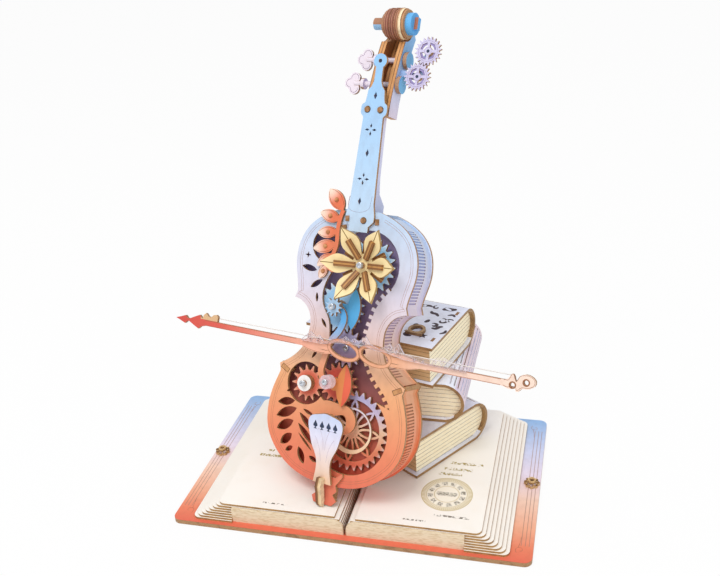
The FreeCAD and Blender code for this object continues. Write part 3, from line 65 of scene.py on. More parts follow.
# How the cello stands: its own across, up and out directions
stand = {"x": -15.5, "y": -49.8, "z": 24.9, "yaw": -15, "lean": 25, "roll": 1.25}
yaw, lean, roll = (math.radians(stand[k]) for k in ("yaw", "lean", "roll"))
celloBase = Vector((stand["x"], stand["y"], stand["z"])) * mm
outward = Vector((math.sin(yaw) * math.cos(lean), -math.cos(yaw) * math.cos(lean), math.sin(lean)))
flatAcross = Vector((math.cos(yaw), math.sin(yaw), 0))
across = flatAcross * math.cos(roll) + outward.cross(flatAcross) * math.sin(roll)
upward = outward.cross(across)
celloFrame = Matrix(((across.x, upward.x, outward.x, 0), (across.y, upward.y, outward.y, 0),
                     (across.z, upward.z, outward.z, 0), (0, 0, 0, 1)))
celloFrame = Matrix.Translation(celloBase) @ celloFrame @ Matrix.Scale(mm, 4)
vertical = Vector((0, 0, 1))
sideways = Vector((1, 0, 0))
depthways = Vector((0, 1, 0))
origin = Vector((0, 0, 0))

gears = {"output": (-23.202, 58.618), "centre": (-1.8, 62.2), "moon": (10.178, 35.296),
         "relay": (0.588, 84.548), "mid": (-6.889, 109.005), "flower": (8.470, 135.933)}
crystalSpot = (-3.9, 63.6)


def polar(centre, reach, degrees):
    a = math.radians(degrees)
    return centre[0] + reach * math.cos(a), centre[1] + reach * math.sin(a)


def turned(points, centre, degrees):
    # Points turned about nought, then moved to the centre
    c, s = math.cos(math.radians(degrees)), math.sin(math.radians(degrees))
    return [(centre[0] + x * c - y * s, centre[1] + x * s + y * c) for x, y in points]


# Camera
view = {"lens": 44.6, "place": (131.5, -467.5, 366.6), "azimuth": 15.65, "elevation": 25.46, "roll": -3.74}


def makeCamera():
    a, e, r = (math.radians(view[k]) for k in ("azimuth", "elevation", "roll"))
    back = Vector((math.sin(a) * math.cos(e), -math.cos(a) * math.cos(e), math.sin(e)))
    right = (-back).cross(vertical).normalized()
    above = right.cross(-back)
    right, above = right * math.cos(r) + above * math.sin(r), above * math.cos(r) - right * math.sin(r)
    data = bpy.data.cameras.new("photoCamera")
    data.lens = view["lens"]
    data.sensor_width = 36
    data.clip_start = 0.01
    camera = bpy.data.objects.new("photoCamera", data)
    scene.collection.objects.link(camera)
    camera.matrix_world = Matrix(((right.x, above.x, back.x, view["place"][0] * mm),
                                  (right.y, above.y, back.y, view["place"][1] * mm),
                                  (right.z, above.z, back.z, view["place"][2] * mm), (0, 0, 0, 1)))
    scene.camera = camera


makeCamera()
print("camera placed")


# Shader maths: a wire is one output, and sums on it add nodes
class Wire:
    def __init__(self, paint, socket):
        self.paint = paint
        self.socket = socket

    def math(self, operation, *others):
        return self.paint.node("Math", {"operation": operation}, [self, *others])

    def __add__(self, other):
        return self.math("ADD", other)

    def __sub__(self, other):
        return self.math("SUBTRACT", other)

    def __rsub__(self, other):
        return self.paint.node("Math", {"operation": "SUBTRACT"}, [other, self])

    def __mul__(self, other):
        return self.math("MULTIPLY", other)

    def __truediv__(self, other):
        return self.math("DIVIDE", other)

    def __gt__(self, other):
        return self.math("GREATER_THAN", other)

    def __lt__(self, other):
        return self.math("LESS_THAN", other)

    def __abs__(self):
        return self.math("ABSOLUTE")

    __radd__ = __add__
    __rmul__ = __mul__

    def either(self, other):
        return self.math("MAXIMUM", other)

    def fraction(self):
        return self.math("FRACT")

    def near(self, value, half):
        # One within half of the value, nought elsewhere
        return abs(self - value) < half

    def soft(self, low, high):
        return self.paint.node("MapRange", {"interpolation_type": "SMOOTHSTEP"}, {0: self, 1: low, 2: high})


def anyOf(masks):
    # One where any of the masks is one
    whole = masks[0]
    for mask in masks[1:]:
        whole = whole.either(mask)
    return whole


class Graph:
    def __init__(self, tree):
        self.tree = tree

    def node(self, kind, settings, sockets, output=0):
        made = self.tree.nodes.new("ShaderNode" + kind)
        for name, value in settings.items():
            if name == "stops":
                self.setStops(made.color_ramp, value)
            else:
                setattr(made, name, value)
        for key, value in (enumerate(sockets) if isinstance(sockets, list) else sockets.items()):
            if isinstance(value, Wire):
                self.link(value, made.inputs[key])
            else:
                made.inputs[key].default_value = value
        return Wire(self, made.outputs[output])

    def link(self, wire, socket):
        self.tree.links.new(wire.socket, socket)

    def setStops(self, ramp, stops):
        while len(ramp.elements) < len(stops):
            ramp.elements.new(0.5)
        for element, (position, code) in zip(ramp.elements, stops):
            element.position = position
            element.color = tone(code)

    def seenRays(self):
        # One where the eye sees the thing itself, nought for the light it gives
        return anyOf([self.node("LightPath", {}, {}, kind)
                      for kind in ("Is Camera Ray", "Is Transmission Ray", "Is Glossy Ray")])


class Paint(Graph):
    # A material under way, with the piece's own coordinates
    def __init__(self, name, roughness=0.55, metallic=0.0):
        self.material = bpy.data.materials.new(name)
        self.material.use_nodes = True
        super().__init__(self.material.node_tree)
        self.shader = self.tree.nodes["Principled BSDF"]
        self.shader.inputs["Roughness"].default_value = roughness
        self.shader.inputs["Metallic"].default_value = metallic
        self.place = self.node("TexCoord", {}, {}, "Object")
        self.normal = self.node("TexCoord", {}, {}, "Normal")

    def along(self, start, way):
        # Distance in millimetres from the start in the given direction
        reach = self.node("VectorMath", {"operation": "DOT_PRODUCT"}, [self.place, way / mm], "Value")
        return reach - start.dot(way) / mm

    def onCello(self):
        # Places across and up the cello
        return self.along(celloBase, across), self.along(celloBase, upward)

    def onBase(self):
        return self.along(origin, sideways), self.along(origin, depthways)

    def distance(self, x, y):
        return (x * x + y * y).math("POWER", 0.5)

    def angle(self, x, y):
        return self.node("Math", {"operation": "ARCTAN2"}, [y, x])

    def facing(self, way, least=0.8):
        return abs(self.toward(way)) > least

    def facingOneWay(self, way, least=0.8):
        return self.toward(way) > least

    def toward(self, way):
        return self.node("VectorMath", {"operation": "DOT_PRODUCT"}, [self.normal, way], "Value")

    def mix(self, factor, first, second):
        first = tone(first) if isinstance(first, str) else first
        second = tone(second) if isinstance(second, str) else second
        return self.node("Mix", {"data_type": "RGBA"}, {0: factor, 6: first, 7: second}, 2)

    def fade(self, wire, low, high, stops):
        share = self.node("MapRange", {}, {0: wire, 1: low, 2: high})
        return self.node("ValToRGB", {"stops": stops}, [share])

    def noise(self, scale, detail=2.0, stretch=None):
        where = self.place
        if stretch:
            where = self.node("Mapping", {}, {"Vector": self.place, "Scale": stretch})
        return self.node("TexNoise", {}, {"Vector": where, "Scale": scale, "Detail": detail})

    def bump(self, height, distance=0.1, strength=0.4):
        return self.node("Bump", {}, {"Strength": strength, "Distance": distance * mm, "Height": height}, "Normal")

    def finish(self, colour, normal=None, alpha=None):
        for name, value in (("Base Color", colour), ("Normal", normal), ("Alpha", alpha)):
            if value:
                self.link(value, self.shader.inputs[name])
        return self.material


def dress(material, *names):
    for name in names:
        for holder in nodes[name].material_slots:
            holder.material = material


# Printed plywood: colour on the faces, burnt layers on the cut edges
ply = {"edge": "b98a58", "burnt": "6b4126", "pale": "d9b487", "dirt": "7a5030", "layer": 0.68,
       "grain": 260, "wear": 0.10}


def cutEdge(paint, depth, codes=None):
    # Thin layers of the sheet, darker where the cut burnt them
    dark, middle, light = codes or (ply["burnt"], ply["edge"], ply["pale"])
    grain = paint.noise(900, 3)
    band = (depth / ply["layer"] + grain * 0.35).fraction()
    colour = paint.mix(band.soft(0.25, 0.45), dark, middle)
    colour = paint.mix(band.soft(0.62, 0.72) * 0.6, colour, light)
    return paint.mix(paint.noise(240, 2).soft(0.45, 0.75) * 0.5, colour, dark)


def faceWear(paint, colour):
    # Fine grain and slight smoke marks over the print
    grain = paint.noise(ply["grain"], 4, (1, 1, 0.25)).soft(0.35, 0.75)
    return paint.mix(grain * ply["wear"], colour, ply["dirt"])


def sheet(name, way, stops, low, high, start=celloBase, run=upward, marks=None):
    # One printed sheet: the way is square to its faces, and the colours fade along the run
    paint = Paint(name)
    depth = paint.along(celloBase if way is outward else origin, way)
    colour = faceWear(paint, paint.fade(paint.along(start, run), low, high, stops))
    if marks:
        colour = marks(paint, colour)
    return paint.finish(paint.mix(paint.facing(way), cutEdge(paint, depth), colour),
                        normal=paint.bump(paint.noise(420, 3), 0.05, 0.25))


celloStops = [(0.0, "e26f55"), (0.14, "e8845f"), (0.36, "eba978"), (0.47, "ecbf9f"), (0.56, "e6cdcb"),
              (0.70, "dcd6e6"), (0.84, "d3dbef"), (1.0, "b9d3ef")]


# Base plate, the cover of the open book
baseLook = {"halfWide": 111.0, "halfDeep": 72.4, "line": 0.22, "ink": "a07868",
            "lines": (2.6, 4.8, 7.2), "ends": 14}
baseStops = [(0.0, "e2694f"), (0.08, "e97f5d"), (0.20, "f0ab8a"), (0.38, "f6d0bb"), (0.55, "eddff0"),
             (0.74, "cfd6f3"), (1.0, "8fb8e6")]


def baseMarks(paint, colour):
    look = baseLook
    x, y = (abs(place) for place in paint.onBase())
    lines = anyOf([x.near(look["halfWide"] - inset, look["line"]) * (y < look["halfDeep"] - look["ends"])
                   for inset in look["lines"]])
    return paint.mix(lines * 0.75, colour, look["ink"])


dress(sheet("printedBase", vertical, baseStops, -baseLook["halfDeep"], baseLook["halfDeep"], origin, depthways,
            baseMarks), "base_plate")


# White faced page sheets with gold burnt edges and generic writing: rows, their ends and indents, and feet
pageLook = {"face": "f9f5ee", "shade": "f0e6d6", "edges": ("6a4420", "b9874a", "e3c58a"), "line": "a08c3e",
            "ink": "5a5040", "half": 1.2, "step": 6}
writing = {"left": {"rows": (-13.1, -7.6, -1.4), "ends": (-73, -38), "indent": 5,
                    "feet": ((-60.1, 0.6, -54, -38),)},
           "right": {"rows": (-13.4, -7.8, -1.4), "ends": (48, 75), "indent": 3,
                     "feet": ((-60.1, 0.6, 34, 48), (-53.5, 0.8, 52, 73))}}
sealLook = {"x": 56.5, "y": -33.2, "radius": 15.6, "ticks": 72, "petals": 12, "paper": "ece4c4",
            "gold": "b8a04c", "ink": "564a2c", "rings": ((0.8, 0.2), (0.49, 0.18), (1, 0.2)),
            "rim": (0.92, 0.08), "band": (0.65, 0.095), "heart": (0.41, 0.11)}


def addSeal(paint, colour, x, y):
    # A generic round seal of ticks, rings and petals, in shares of its radius
    look, big = sealLook, sealLook["radius"]
    x, y = x - look["x"], y - look["y"]
    reach, angle = paint.distance(x, y), paint.angle(x, y)
    ticks = (angle * (look["ticks"] / (2 * math.pi))).fraction() < 0.5
    rim = reach.near(big * look["rim"][0], big * look["rim"][1]) * ticks
    rings = anyOf([reach.near(big * share, half) for share, half in look["rings"]])
    petals = (angle * (look["petals"] / (2 * math.pi))).fraction().near(0.5, 0.30)
    petals = petals * reach.near(big * look["band"][0], big * look["band"][1])
    speckle = paint.noise(1500).soft(0.47, 0.53)
    heart = (reach < big * look["heart"][0]) * y.near(0, big * look["heart"][1]) * speckle
    colour = paint.mix((reach < big) * 0.35, colour, look["paper"])
    colour = paint.mix(rim.either(rings) * 0.85, colour, look["gold"])
    return paint.mix((petals * speckle).either(heart) * 0.9, colour, look["ink"])


def pageMaterial(side):
    look, lines = pageLook, writing[side]
    paint = Paint(side + "PageStock", 0.6)
    x, y = paint.onBase()
    colour = paint.mix(paint.noise(60, 3).soft(0.4, 0.8) * 0.25, look["face"], look["shade"])
    stroke = paint.noise(800, 1).soft(0.48, 0.54)
    left, right = lines["ends"]
    last = len(lines["rows"]) - 1
    letters = anyOf([y.near(row, look["half"]) * (x > left + lines["indent"] * number)
                     * (x < right - look["step"] * (last - number)) for number, row in enumerate(lines["rows"])])
    feet = anyOf([y.near(level, half) * (x > start) * (x < end) for level, half, start, end in lines["feet"]])
    colour = paint.mix(letters * stroke * 0.95, colour, look["line"])
    colour = paint.mix(feet * stroke * 0.9, colour, look["ink"])
    if side == "right":
        colour = addSeal(paint, colour, x, y)
    edge = cutEdge(paint, paint.along(origin, vertical), look["edges"])
    return paint.finish(paint.mix(paint.facingOneWay(vertical), edge, colour))


for side in ("left", "right"):
    dress(pageMaterial(side), side + "_pages")


# Beige panels at the front of the pages, with a fine woven grain
panelLook = {"face": "ead9bb", "dark": "c6a878", "edge": "8a5f38", "joint": 1.1}


def panelMaterial():
    paint = Paint("panelStock", 0.65)
    weave = paint.noise(800, 3, (0.35, 1, 1.6)).soft(0.42, 0.70)
    colour = paint.mix(weave * 0.55, panelLook["face"], panelLook["dark"])
    joint = abs(paint.along(origin, sideways)) < panelLook["joint"]
    colour = paint.mix(joint * 0.6, colour, panelLook["edge"])
    return paint.finish(colour, normal=paint.bump(weave, 0.06, 0.3))


dress(panelMaterial(), "left_front_panel", "right_front_panel")


# Bare wood of the hook, the pull ring and the corner posts
hookLook = {"half": 1.9, "stops": [(0, "5f3d22"), (0.38, "8a5f38"), (0.46, "8a5f38"), (0.52, "dcb888"),
                                   (1, "f0d8b0")], "dark": "7a5230"}
ringEdges = ("5f4026", "8f6a44", "c9a678")
postEdges = ("8f6038", "c2905c", "dab07c")


def woodGrain(paint):
    return paint.noise(350, 4, (1, 0.3, 1))


def hookMaterial():
    # Its left side shows dark cut layers and its right side the bare face
    paint = Paint("hookWood", 0.6)
    colour = paint.fade(paint.along(celloBase, across), -hookLook["half"], hookLook["half"], hookLook["stops"])
    grain = woodGrain(paint)
    return paint.finish(paint.mix(grain.soft(0.4, 0.7) * 0.35, colour, hookLook["dark"]),
                        normal=paint.bump(grain, 0.06, 0.3))


def ringMaterial():
    paint = Paint("ringWood", 0.6)
    colour = cutEdge(paint, paint.along(celloBase, vertical), ringEdges)
    grain = woodGrain(paint)
    return paint.finish(paint.mix(grain.soft(0.4, 0.7) * 0.4, colour, ringEdges[0]),
                        normal=paint.bump(grain, 0.06, 0.3))


def postMaterial():
    paint = Paint("postWood", 0.6)
    grain = woodGrain(paint)
    edge = cutEdge(paint, paint.along(celloBase, outward), postEdges)
    face = paint.mix(grain.soft(0.4, 0.7) * 0.5, "cc9460", "a86f42")
    return paint.finish(paint.mix(paint.facing(outward), edge, face), normal=paint.bump(grain, 0.06, 0.3))


dress(hookMaterial(), "tail_hook")
dress(ringMaterial(), "top_book_ring")
dress(postMaterial(), "corner_posts")


# Rosettes of the clasps: eight small petals burnt into gold brown wood
claspLook = {"x": 105.7, "y": -0.6, "petals": 8, "inside": 1.9, "outside": 4.7, "face": ("dcb478", "efd6a6"),
             "ink": "6d4426", "edges": ("a87e48", "d0a870", "f0dab0")}


def claspMaterial():
    look = claspLook
    paint = Paint("claspWood")
    x, y = paint.onBase()
    x, y = abs(x) - look["x"], y - look["y"]
    step = 2 * math.pi / look["petals"]
    reach = paint.distance(x, y)
    angle = paint.angle(x, y) + step * (look["petals"] + 0.5)
    off = abs(((angle / step).fraction() - 0.5) * step * reach)
    lines = (off > reach * step * 0.42) * (reach > look["inside"])
    lines = anyOf([lines, reach.near(look["inside"], 0.25), reach.near(look["outside"], 0.2)])
    face = paint.mix(paint.noise(300, 3).soft(0.4, 0.7), *look["face"])
    face = paint.mix(lines * 0.4, face, look["ink"])
    edge = cutEdge(paint, paint.along(origin, vertical), look["edges"])
    return paint.finish(paint.mix(paint.facing(vertical), edge, face))


dress(claspMaterial(), "cover_clasps")
print("base, pages and brown wood dressed")


# Closed books: lavender board faces, brown edges, kerfed spine, cream page blocks with dark lines
bookLook = {"face": ("eef0fc", "dfe5fa"), "spine": ("e7d3dc", "c9bfdc"), "edges": ("5f3d22", "a47a48", "d6b27c"),
            "page": ("fff4d6", "eccf92"), "front": "c4924e", "line": "5d4527", "pitch": 2.9, "board": 2.0}
books = {"bottom": {"low": 14.2, "turn": 57.0}, "middle": {"low": 42.2, "turn": 0.0},
         "top": {"low": 70.2, "turn": 75.0}}


def spineWay(name):
    turn = math.radians(books[name]["turn"])
    return Vector((math.cos(turn), math.sin(turn), 0))


def coverMaterial(name):
    paint = Paint(name + "CoverPrint", 0.5)
    board = paint.mix(paint.noise(16, 2).soft(0.35, 0.65) * 0.7, *bookLook["face"])
    spine = paint.mix(paint.noise(40, 2).soft(0.4, 0.7) * 0.6, *bookLook["spine"])
    edge = cutEdge(paint, paint.along(origin, vertical) - books[name]["low"], bookLook["edges"])
    colour = paint.mix(paint.facingOneWay(spineWay(name), 0.25), edge, spine)
    return paint.finish(paint.mix(paint.facing(vertical), colour, faceWear(paint, board)))


def blockMaterial(name):
    paint = Paint(name + "PageBlock", 0.7)
    z = paint.along(origin, vertical) - (books[name]["low"] + bookLook["board"])
    band = (z / bookLook["pitch"]).fraction()
    lines = (band < 0.08) * (0.45 + paint.noise(160, 3).soft(0.30, 0.42) * 0.55)
    grain = paint.noise(500, 3, (1, 1, 4))
    colour = paint.mix(grain.soft(0.4, 0.75) * 0.4, *bookLook["page"])
    colour = paint.mix(paint.facingOneWay(-spineWay(name), 0.7) * 0.75, colour, bookLook["front"])
    colour = paint.mix(lines * (1 - paint.facing(vertical)), colour, bookLook["line"])
    return paint.finish(colour, normal=paint.bump((band > 0.13) * 1.0, 0.15, 0.4))


for bookName in books:
    dress(coverMaterial(bookName), bookName + "_book_cover")
    dress(blockMaterial(bookName), bookName + "_book_pages")
print("books dressed")


# Vine leaves: root as shares, angle, length and width
vineLook = {"half": 41.2, "length": 170.0, "level": 2.0, "stud": 1.5, "rise": 0.7, "middle": 0.48}
vineLeaves = ((-0.285, 0.985, 133, 0.40, 0.23), (-0.323, 0.950, 167, 0.352, 0.19),
              (-0.335, 0.906, 188, 0.338, 0.18), (-0.325, 0.862, 196, 0.40, 0.20),
              (-0.364, 0.8235, 219, 0.314, 0.17), (-0.449, 0.785, 247, 0.24, 0.14))


def onLeaf(leaf, share):
    # The place that lies the given share of the leaf's length from its root
    x, y, angle, length, width = leaf
    return polar((vineLook["half"] * x, vineLook["length"] * y), vineLook["half"] * length * share, angle)


# Cello sheets that only fade: material, node, where the fade starts and ends, and its colours
plainPrints = (
    ("frontPrint", "front_plate", 0, 170, celloStops), ("backPrint", "back_plate", 0, 170, celloStops),
    ("innerPrint", "mid_plate", 0, 170, [(0, "cf5138"), (0.25, "b05642"), (0.45, "7d505c"), (0.7, "9c88b4"),
                                         (1, "ab9cc8")]),
    ("crescentPrint", "moon_crescent", 21, 50, [(0, "f3c39a"), (0.5, "f6dcbf"), (1, "e3d8ea")]),
    ("midLeafPrint", "mid_leaf", 93, 125, [(0, "4aa3dc"), (1, "5ab4e6")]),
    ("hubPrint", "mid_hub_gear", 96, 122, [(0, "9cc3e6"), (1, "b4d2ee")]),
    ("armPrint", "link_arm", 62, 112, [(0, "e58a5c"), (0.35, "e9a886"), (0.50, "d6c4d4"), (0.62, "9cc0ea"),
                                       (0.78, "58aae4"), (1, "4aa2e0")]),
    ("tailPrint", "tailpiece", 2, 46, [(0, "f0c8a6"), (0.35, "eed9d2"), (0.62, "e3e0f2"), (1, "c5d2f0")]),
    ("boardPrint", "fingerboard", 155, 260, [(0, "c3d9ef"), (0.4, "b0d0ee"), (0.7, "a4caee"), (1, "8fc2ee")]),
    ("endpinPrint", "endpin_block", -14, 6, [(0, "dc6a52"), (1, "e68264")]),
    ("bracketPrint", "scroll_bracket", 245, 275, [(0, "a9c6f2"), (1, "8fbcf0")]))
for name, node, low, high, stops in plainPrints:
    dress(sheet(name, outward, stops, low, high), node)
dress(sheet("neckPrint", across, [(0, "c6d2f4"), (0.4, "d6d8f4"), (1, "e0dcf2")], 165, 235), "neck")
dress(sheet("scrollGearPrint", outward, [(0, "c9c0e0"), (1, "cdc8e6")], 240, 280), "scroll_gear_lower",
      "scroll_gear_upper")

# Wheels: material, node, fade along the cello, colour at the teeth and where it starts and is full
wheelPrints = {
    "moon": ("moonPrint", "moon_gear", 11, 60, [(0, "d5553c"), (0.30, "e0805c"), (0.55, "efc3a0"),
                                                (0.75, "cdbcd6"), (1, "a8a6d4")], "f2d9d2", 21.5, 25),
    "output": ("outputPrint", "output_gear", 46, 72, [(0, "df6246"), (1, "e4775c")], "f0b294", 6, 11),
    "centre": ("centrePrint", "centre_gear", 49, 75, [(0, "d2452f"), (1, "dd5a48")], "ea9a7c", 7.5, 12.5),
    "relay": ("relayPrint", "relay_gear", 72, 97, [(0, "a05a6a"), (0.5, "8f87a8"), (1, "a9a2c6")], "cfc4dc",
              8, 12),
    "mid": ("midPrint", "mid_gear", 93, 125, [(0, "8cc6f4"), (1, "a6d4f8")], "dcecfc", 11, 15),
    "flower": ("flowerGearPrint", "flower_gear", 118, 154, [(0, "92ccf8"), (1, "a6d8fc")], "dcefff", 13, 17)}


def wheelMarks(spot, inside, outside, code):
    # The colour pales from the middle of a wheel to its teeth
    def marks(paint, colour):
        u, v = paint.onCello()
        reach = paint.distance(u - spot[0], v - spot[1])
        return paint.mix(reach.soft(inside, outside) * 0.8, colour, code)
    return marks


for wheel, (name, node, low, high, stops, rim, inside, outside) in wheelPrints.items():
    dress(sheet(name, outward, stops, low, high, marks=wheelMarks(gears[wheel], inside, outside, rim)), node)


def vineTips(paint, colour):
    # Each leaf pales towards its tip
    u, v = paint.onCello()
    tips = []
    for leaf in vineLeaves:
        x, y = onLeaf(leaf, 1)
        tips.append(1 - paint.distance(u - x, v - y).soft(1.5, 10.5))
    return paint.mix(anyOf(tips) * 0.95, colour, "fbdcc8")


def centreLeafMarks(paint, colour):
    # The left half of the leaf is bare orange wood and the right half is red
    u = paint.along(celloBase, across)
    return paint.mix(u < gears["centre"][0] + 6.4, colour, "d98348")


dress(sheet("vinePrint", outward, [(0, "ea8a62"), (0.5, "e57850"), (1, "e26c46")], 125, 182, marks=vineTips),
      "leaf_vine")
dress(sheet("centreLeafPrint", outward, [(0, "e0583c"), (1, "e86f50")], 46, 76, marks=centreLeafMarks),
      "centre_leaf")


# Petals with an engraved midline, and bars with their layers as stripes
petalLook = {"face": "f7dda2", "tip": "fae8bc", "ink": "8a6a34", "count": 6, "first": 2.0, "half": 0.28,
             "line": (17, 25), "edges": ("7a5a2c", "b9924f", "e0c47f")}
barLook = {"half": 1.8, "dark": "6b4320", "stops": [(0, "c08a4a"), (0.30, "b67e40"), (0.40, "5f3618"),
                                                    (0.58, "7a4a22"), (0.70, "a87236"), (1, "6a4020")]}


def aboutFlower(paint, count):
    # Distance from the flower's axle, and sideways from the nearest of its arms
    x, y = paint.onCello()
    x, y = x - gears["flower"][0], y - gears["flower"][1]
    step = 2 * math.pi / count
    angle = paint.angle(x, y) - math.radians(petalLook["first"]) + step * (count + 0.5)
    reach = paint.distance(x, y)
    return reach, abs(((angle / step).fraction() - 0.5) * step * reach)


def petalMaterial():
    look = petalLook
    paint = Paint("petalPrint")
    reach, off = aboutFlower(paint, look["count"])
    line = (off < look["half"]) * (reach > look["line"][0]) * (reach < look["line"][1])
    colour = faceWear(paint, paint.mix(reach.soft(8, 30) * 0.5, look["face"], look["tip"]))
    colour = paint.mix(line, colour, look["ink"])
    edge = cutEdge(paint, paint.along(celloBase, outward), look["edges"])
    return paint.finish(paint.mix(paint.facing(outward, 0.7), edge, colour))


def barMaterial():
    paint = Paint("barWood")
    off = aboutFlower(paint, 2 * petalLook["count"])[1]
    colour = paint.fade(off, 0, barLook["half"], barLook["stops"])
    grain = paint.noise(400, 3, (1, 1, 0.3))
    colour = paint.mix(grain.soft(0.45, 0.75) * 0.4, colour, barLook["dark"])
    return paint.finish(colour, normal=paint.bump(grain, 0.05, 0.3))


dress(petalMaterial(), "flower_petals")
dress(barMaterial(), "flower_bars")


# Bow fades from coral at the tip through peach to pale at the frog
bowStops = [(0.0, "cf4a40"), (0.14, "d9594b"), (0.30, "e6907c"), (0.44, "ecae94"), (0.52, "e7a27c"),
            (0.66, "e9ab86"), (0.78, "f2cdbb"), (1.0, "f5dccb")]
bowLook = {"clip": (-101.5, -86.0, 86.7), "wood": "d8b084", "eyes": ((110.8, 84.1), (118.2, 86.7)),
           "eyeInside": 1.2, "eyeOutside": 2.1, "ring": "96603c", "line": 84.6, "edge": (1.35, 1.95),
           "plain": (-28.0, 60.0, 104.0), "burnt": "a4603f"}


def bowMarks(paint, colour):
    # The clip at the tip is bare wood, and brown rings lie round the eyes of the frog
    look = bowLook
    u, v = paint.onCello()
    left, right, low = look["clip"]
    first, start, end = look["plain"]
    colour = paint.mix((u > left) * (u < right) * (v > low), colour, look["wood"])
    off = abs(v - look["line"])
    edge = (off > look["edge"][0]) * (off < look["edge"][1])
    edge = edge * ((u > start) * (u < end)).either((u < first) * (u > left + 4))
    colour = paint.mix(edge * 0.75, colour, look["burnt"])
    reaches = [paint.distance(u - x, v - y) for x, y in look["eyes"]]
    rings = anyOf([(reach > look["eyeInside"]) * (reach < look["eyeOutside"]) for reach in reaches])
    return paint.mix(rings, colour, look["ring"])


dress(sheet("bowPrint", outward, bowStops, -121, 124, run=across, marks=bowMarks), "bow_stick", "bow_tip",
      "bow_frog")


# Pegbox, scroll drum and pegs
pegboxLook = {"low": 222, "high": 285, "layer": 2.0, "inside": 4.2, "slot": 5.0, "edge": ("d79a5c", "6f4424"),
              "stain": "b37840", "bare": ("c48a50", "8f5830"),
              "stops": [(0, "e3d3e4"), (0.35, "c6cfec"), (0.7, "7fb4e6"), (1, "8fc0ea")]}


def pegboxMaterial():
    look = pegboxLook
    paint = Paint("pegboxPrint")
    u, v = paint.onCello()
    wash = paint.fade(v, look["low"], look["high"], look["stops"])
    layer = ((abs(u) - look["inside"]) / look["layer"]).fraction()
    edge = paint.mix(layer.soft(0.70, 0.85), *look["edge"])
    edge = paint.mix(paint.noise(300, 3).soft(0.45, 0.7) * 0.5, edge, look["stain"])
    bare = paint.mix(paint.noise(90, 3, (1, 1, 0.3)).soft(0.35, 0.7), *look["bare"])
    face = paint.mix(abs(u) < look["slot"], faceWear(paint, wash), bare)
    return paint.finish(paint.mix(paint.facing(across, 0.7), edge, face))


dress(pegboxMaterial(), "pegbox")


drumLook = {"left": -6.2, "right": 9.6, "disc": 1.58, "centre": 283.2, "cream": (6.26, 7.9), "capEnd": 13.7,
            "hubSplit": -1.2, "end": "b98a5e", "char": "4a291c", "pale": "e3b088", "blue": "58a8e4",
            "stops": [(0.0, "b27a50"), (0.12, "a0684a"), (0.25, "8c4e3c"), (0.5, "854638"), (0.66, "94583f"),
                      (0.80, "b07a50"), (1.0, "c08c5c")]}


def drumMaterial():
    # Discs of stained ply with charred joints, a cream one, and a blue cap and hub on the axle
    paint = Paint("drumWood", 0.6)
    u, v = paint.onCello()
    first, last = drumLook["left"] - 0.02, drumLook["right"] + 0.02
    share = ((u - first) / drumLook["disc"]).fraction()
    wood = paint.fade(u, first, last, drumLook["stops"])
    wood = paint.mix(share.near(0.24, 0.10) * 0.55, wood, drumLook["pale"])
    wood = paint.mix((share < 0.10).either(share > 0.93), wood, drumLook["char"])
    wood = paint.mix((u > drumLook["cream"][0]) * (u < drumLook["cream"][1]), wood, "fae6c0")
    wood = paint.mix(paint.noise(260, 3, (0.3, 1, 1)).soft(0.45, 0.75) * 0.3, wood, "5f3424")
    hub = paint.mix(v > drumLook["centre"] + drumLook["hubSplit"], "93bde2", "a9775a")
    cap = paint.mix((u > drumLook["capEnd"]) * paint.facing(outward, 0.9), "62b0ea", "b3694c")
    colour = paint.mix(u < first, paint.mix(u > last, wood, cap), hub)
    ends = paint.mix(u > 0, drumLook["end"], drumLook["blue"])
    ends = paint.mix((u < first).either(u > last), drumLook["end"], ends)
    return paint.finish(paint.mix(paint.facing(across, 0.7), colour, ends))


dress(drumMaterial(), "scroll_drum")


pegPaint = {"disc": 8.3, "face": ("e9dde8", "6cb2e2"), "edges": ("7a5036", "b98a66", "d9b494"),
            "stem": (-3, 11), "stemTone": "d5c3d8"}


def pegMaterial(name):
    paint = Paint(name, 0.5)
    u = paint.along(celloBase, across)
    disc = u > pegPaint["disc"]
    face = paint.mix(disc, *pegPaint["face"])
    edge = cutEdge(paint, u, pegPaint["edges"])
    flat = paint.facing(outward, 0.7) * (1 - disc)
    flat = flat.either(paint.facing(across, 0.7) * disc)
    stem = abs(u - pegPaint["stem"][0]) < pegPaint["stem"][1]
    edge = paint.mix(stem * (1 - disc), edge, pegPaint["stemTone"])
    return paint.finish(paint.mix(flat, edge, face))


dress(pegMaterial("lowerPegPrint"), "peg_lower")
dress(pegMaterial("upperPegPrint"), "peg_upper")
print("cello sheets dressed")


# Metals, clear acrylic and the cord of the bow
metalLook = {"steel": ("c9ccd2", 0.28), "brass": ("d8b45c", 0.32), "worn": "8f8f94"}
pinLook = {"index": 1.49, "least": 0.55, "tone": "f0cfd6"}


def metalMaterial(name, code, roughness):
    paint = Paint(name, roughness, 1.0)
    brushed = paint.noise(1200, 2, (1, 1, 0.1))
    colour = paint.mix(brushed.soft(0.3, 0.8) * 0.25, code, metalLook["worn"])
    return paint.finish(colour, normal=paint.bump(brushed, 0.02, 0.2))


steel = metalMaterial("brushedSteel", *metalLook["steel"])
brass = metalMaterial("plainBrass", *metalLook["brass"])
dress(steel, "steel_comb", "winding_key")
dress(brass, "movement_bedplate", "spring_barrel", "pinned_cylinder", "governor_fly", "plate_posts")


def pinMaterial():
    paint = Paint("clearPin", 0.08)
    paint.shader.inputs["IOR"].default_value = pinLook["index"]
    # The colour turns white and more opaque at glancing angles: a painted reflection over the pink tint
    rim = paint.node("LayerWeight", {}, {"Blend": 0.35}, "Facing")
    veil = rim.soft(0.1, 0.9) * (1 - pinLook["least"]) + pinLook["least"]
    return paint.finish(paint.mix(rim, pinLook["tone"], "ffffff"), alpha=veil)


dress(pinMaterial(), "crystal_pin")


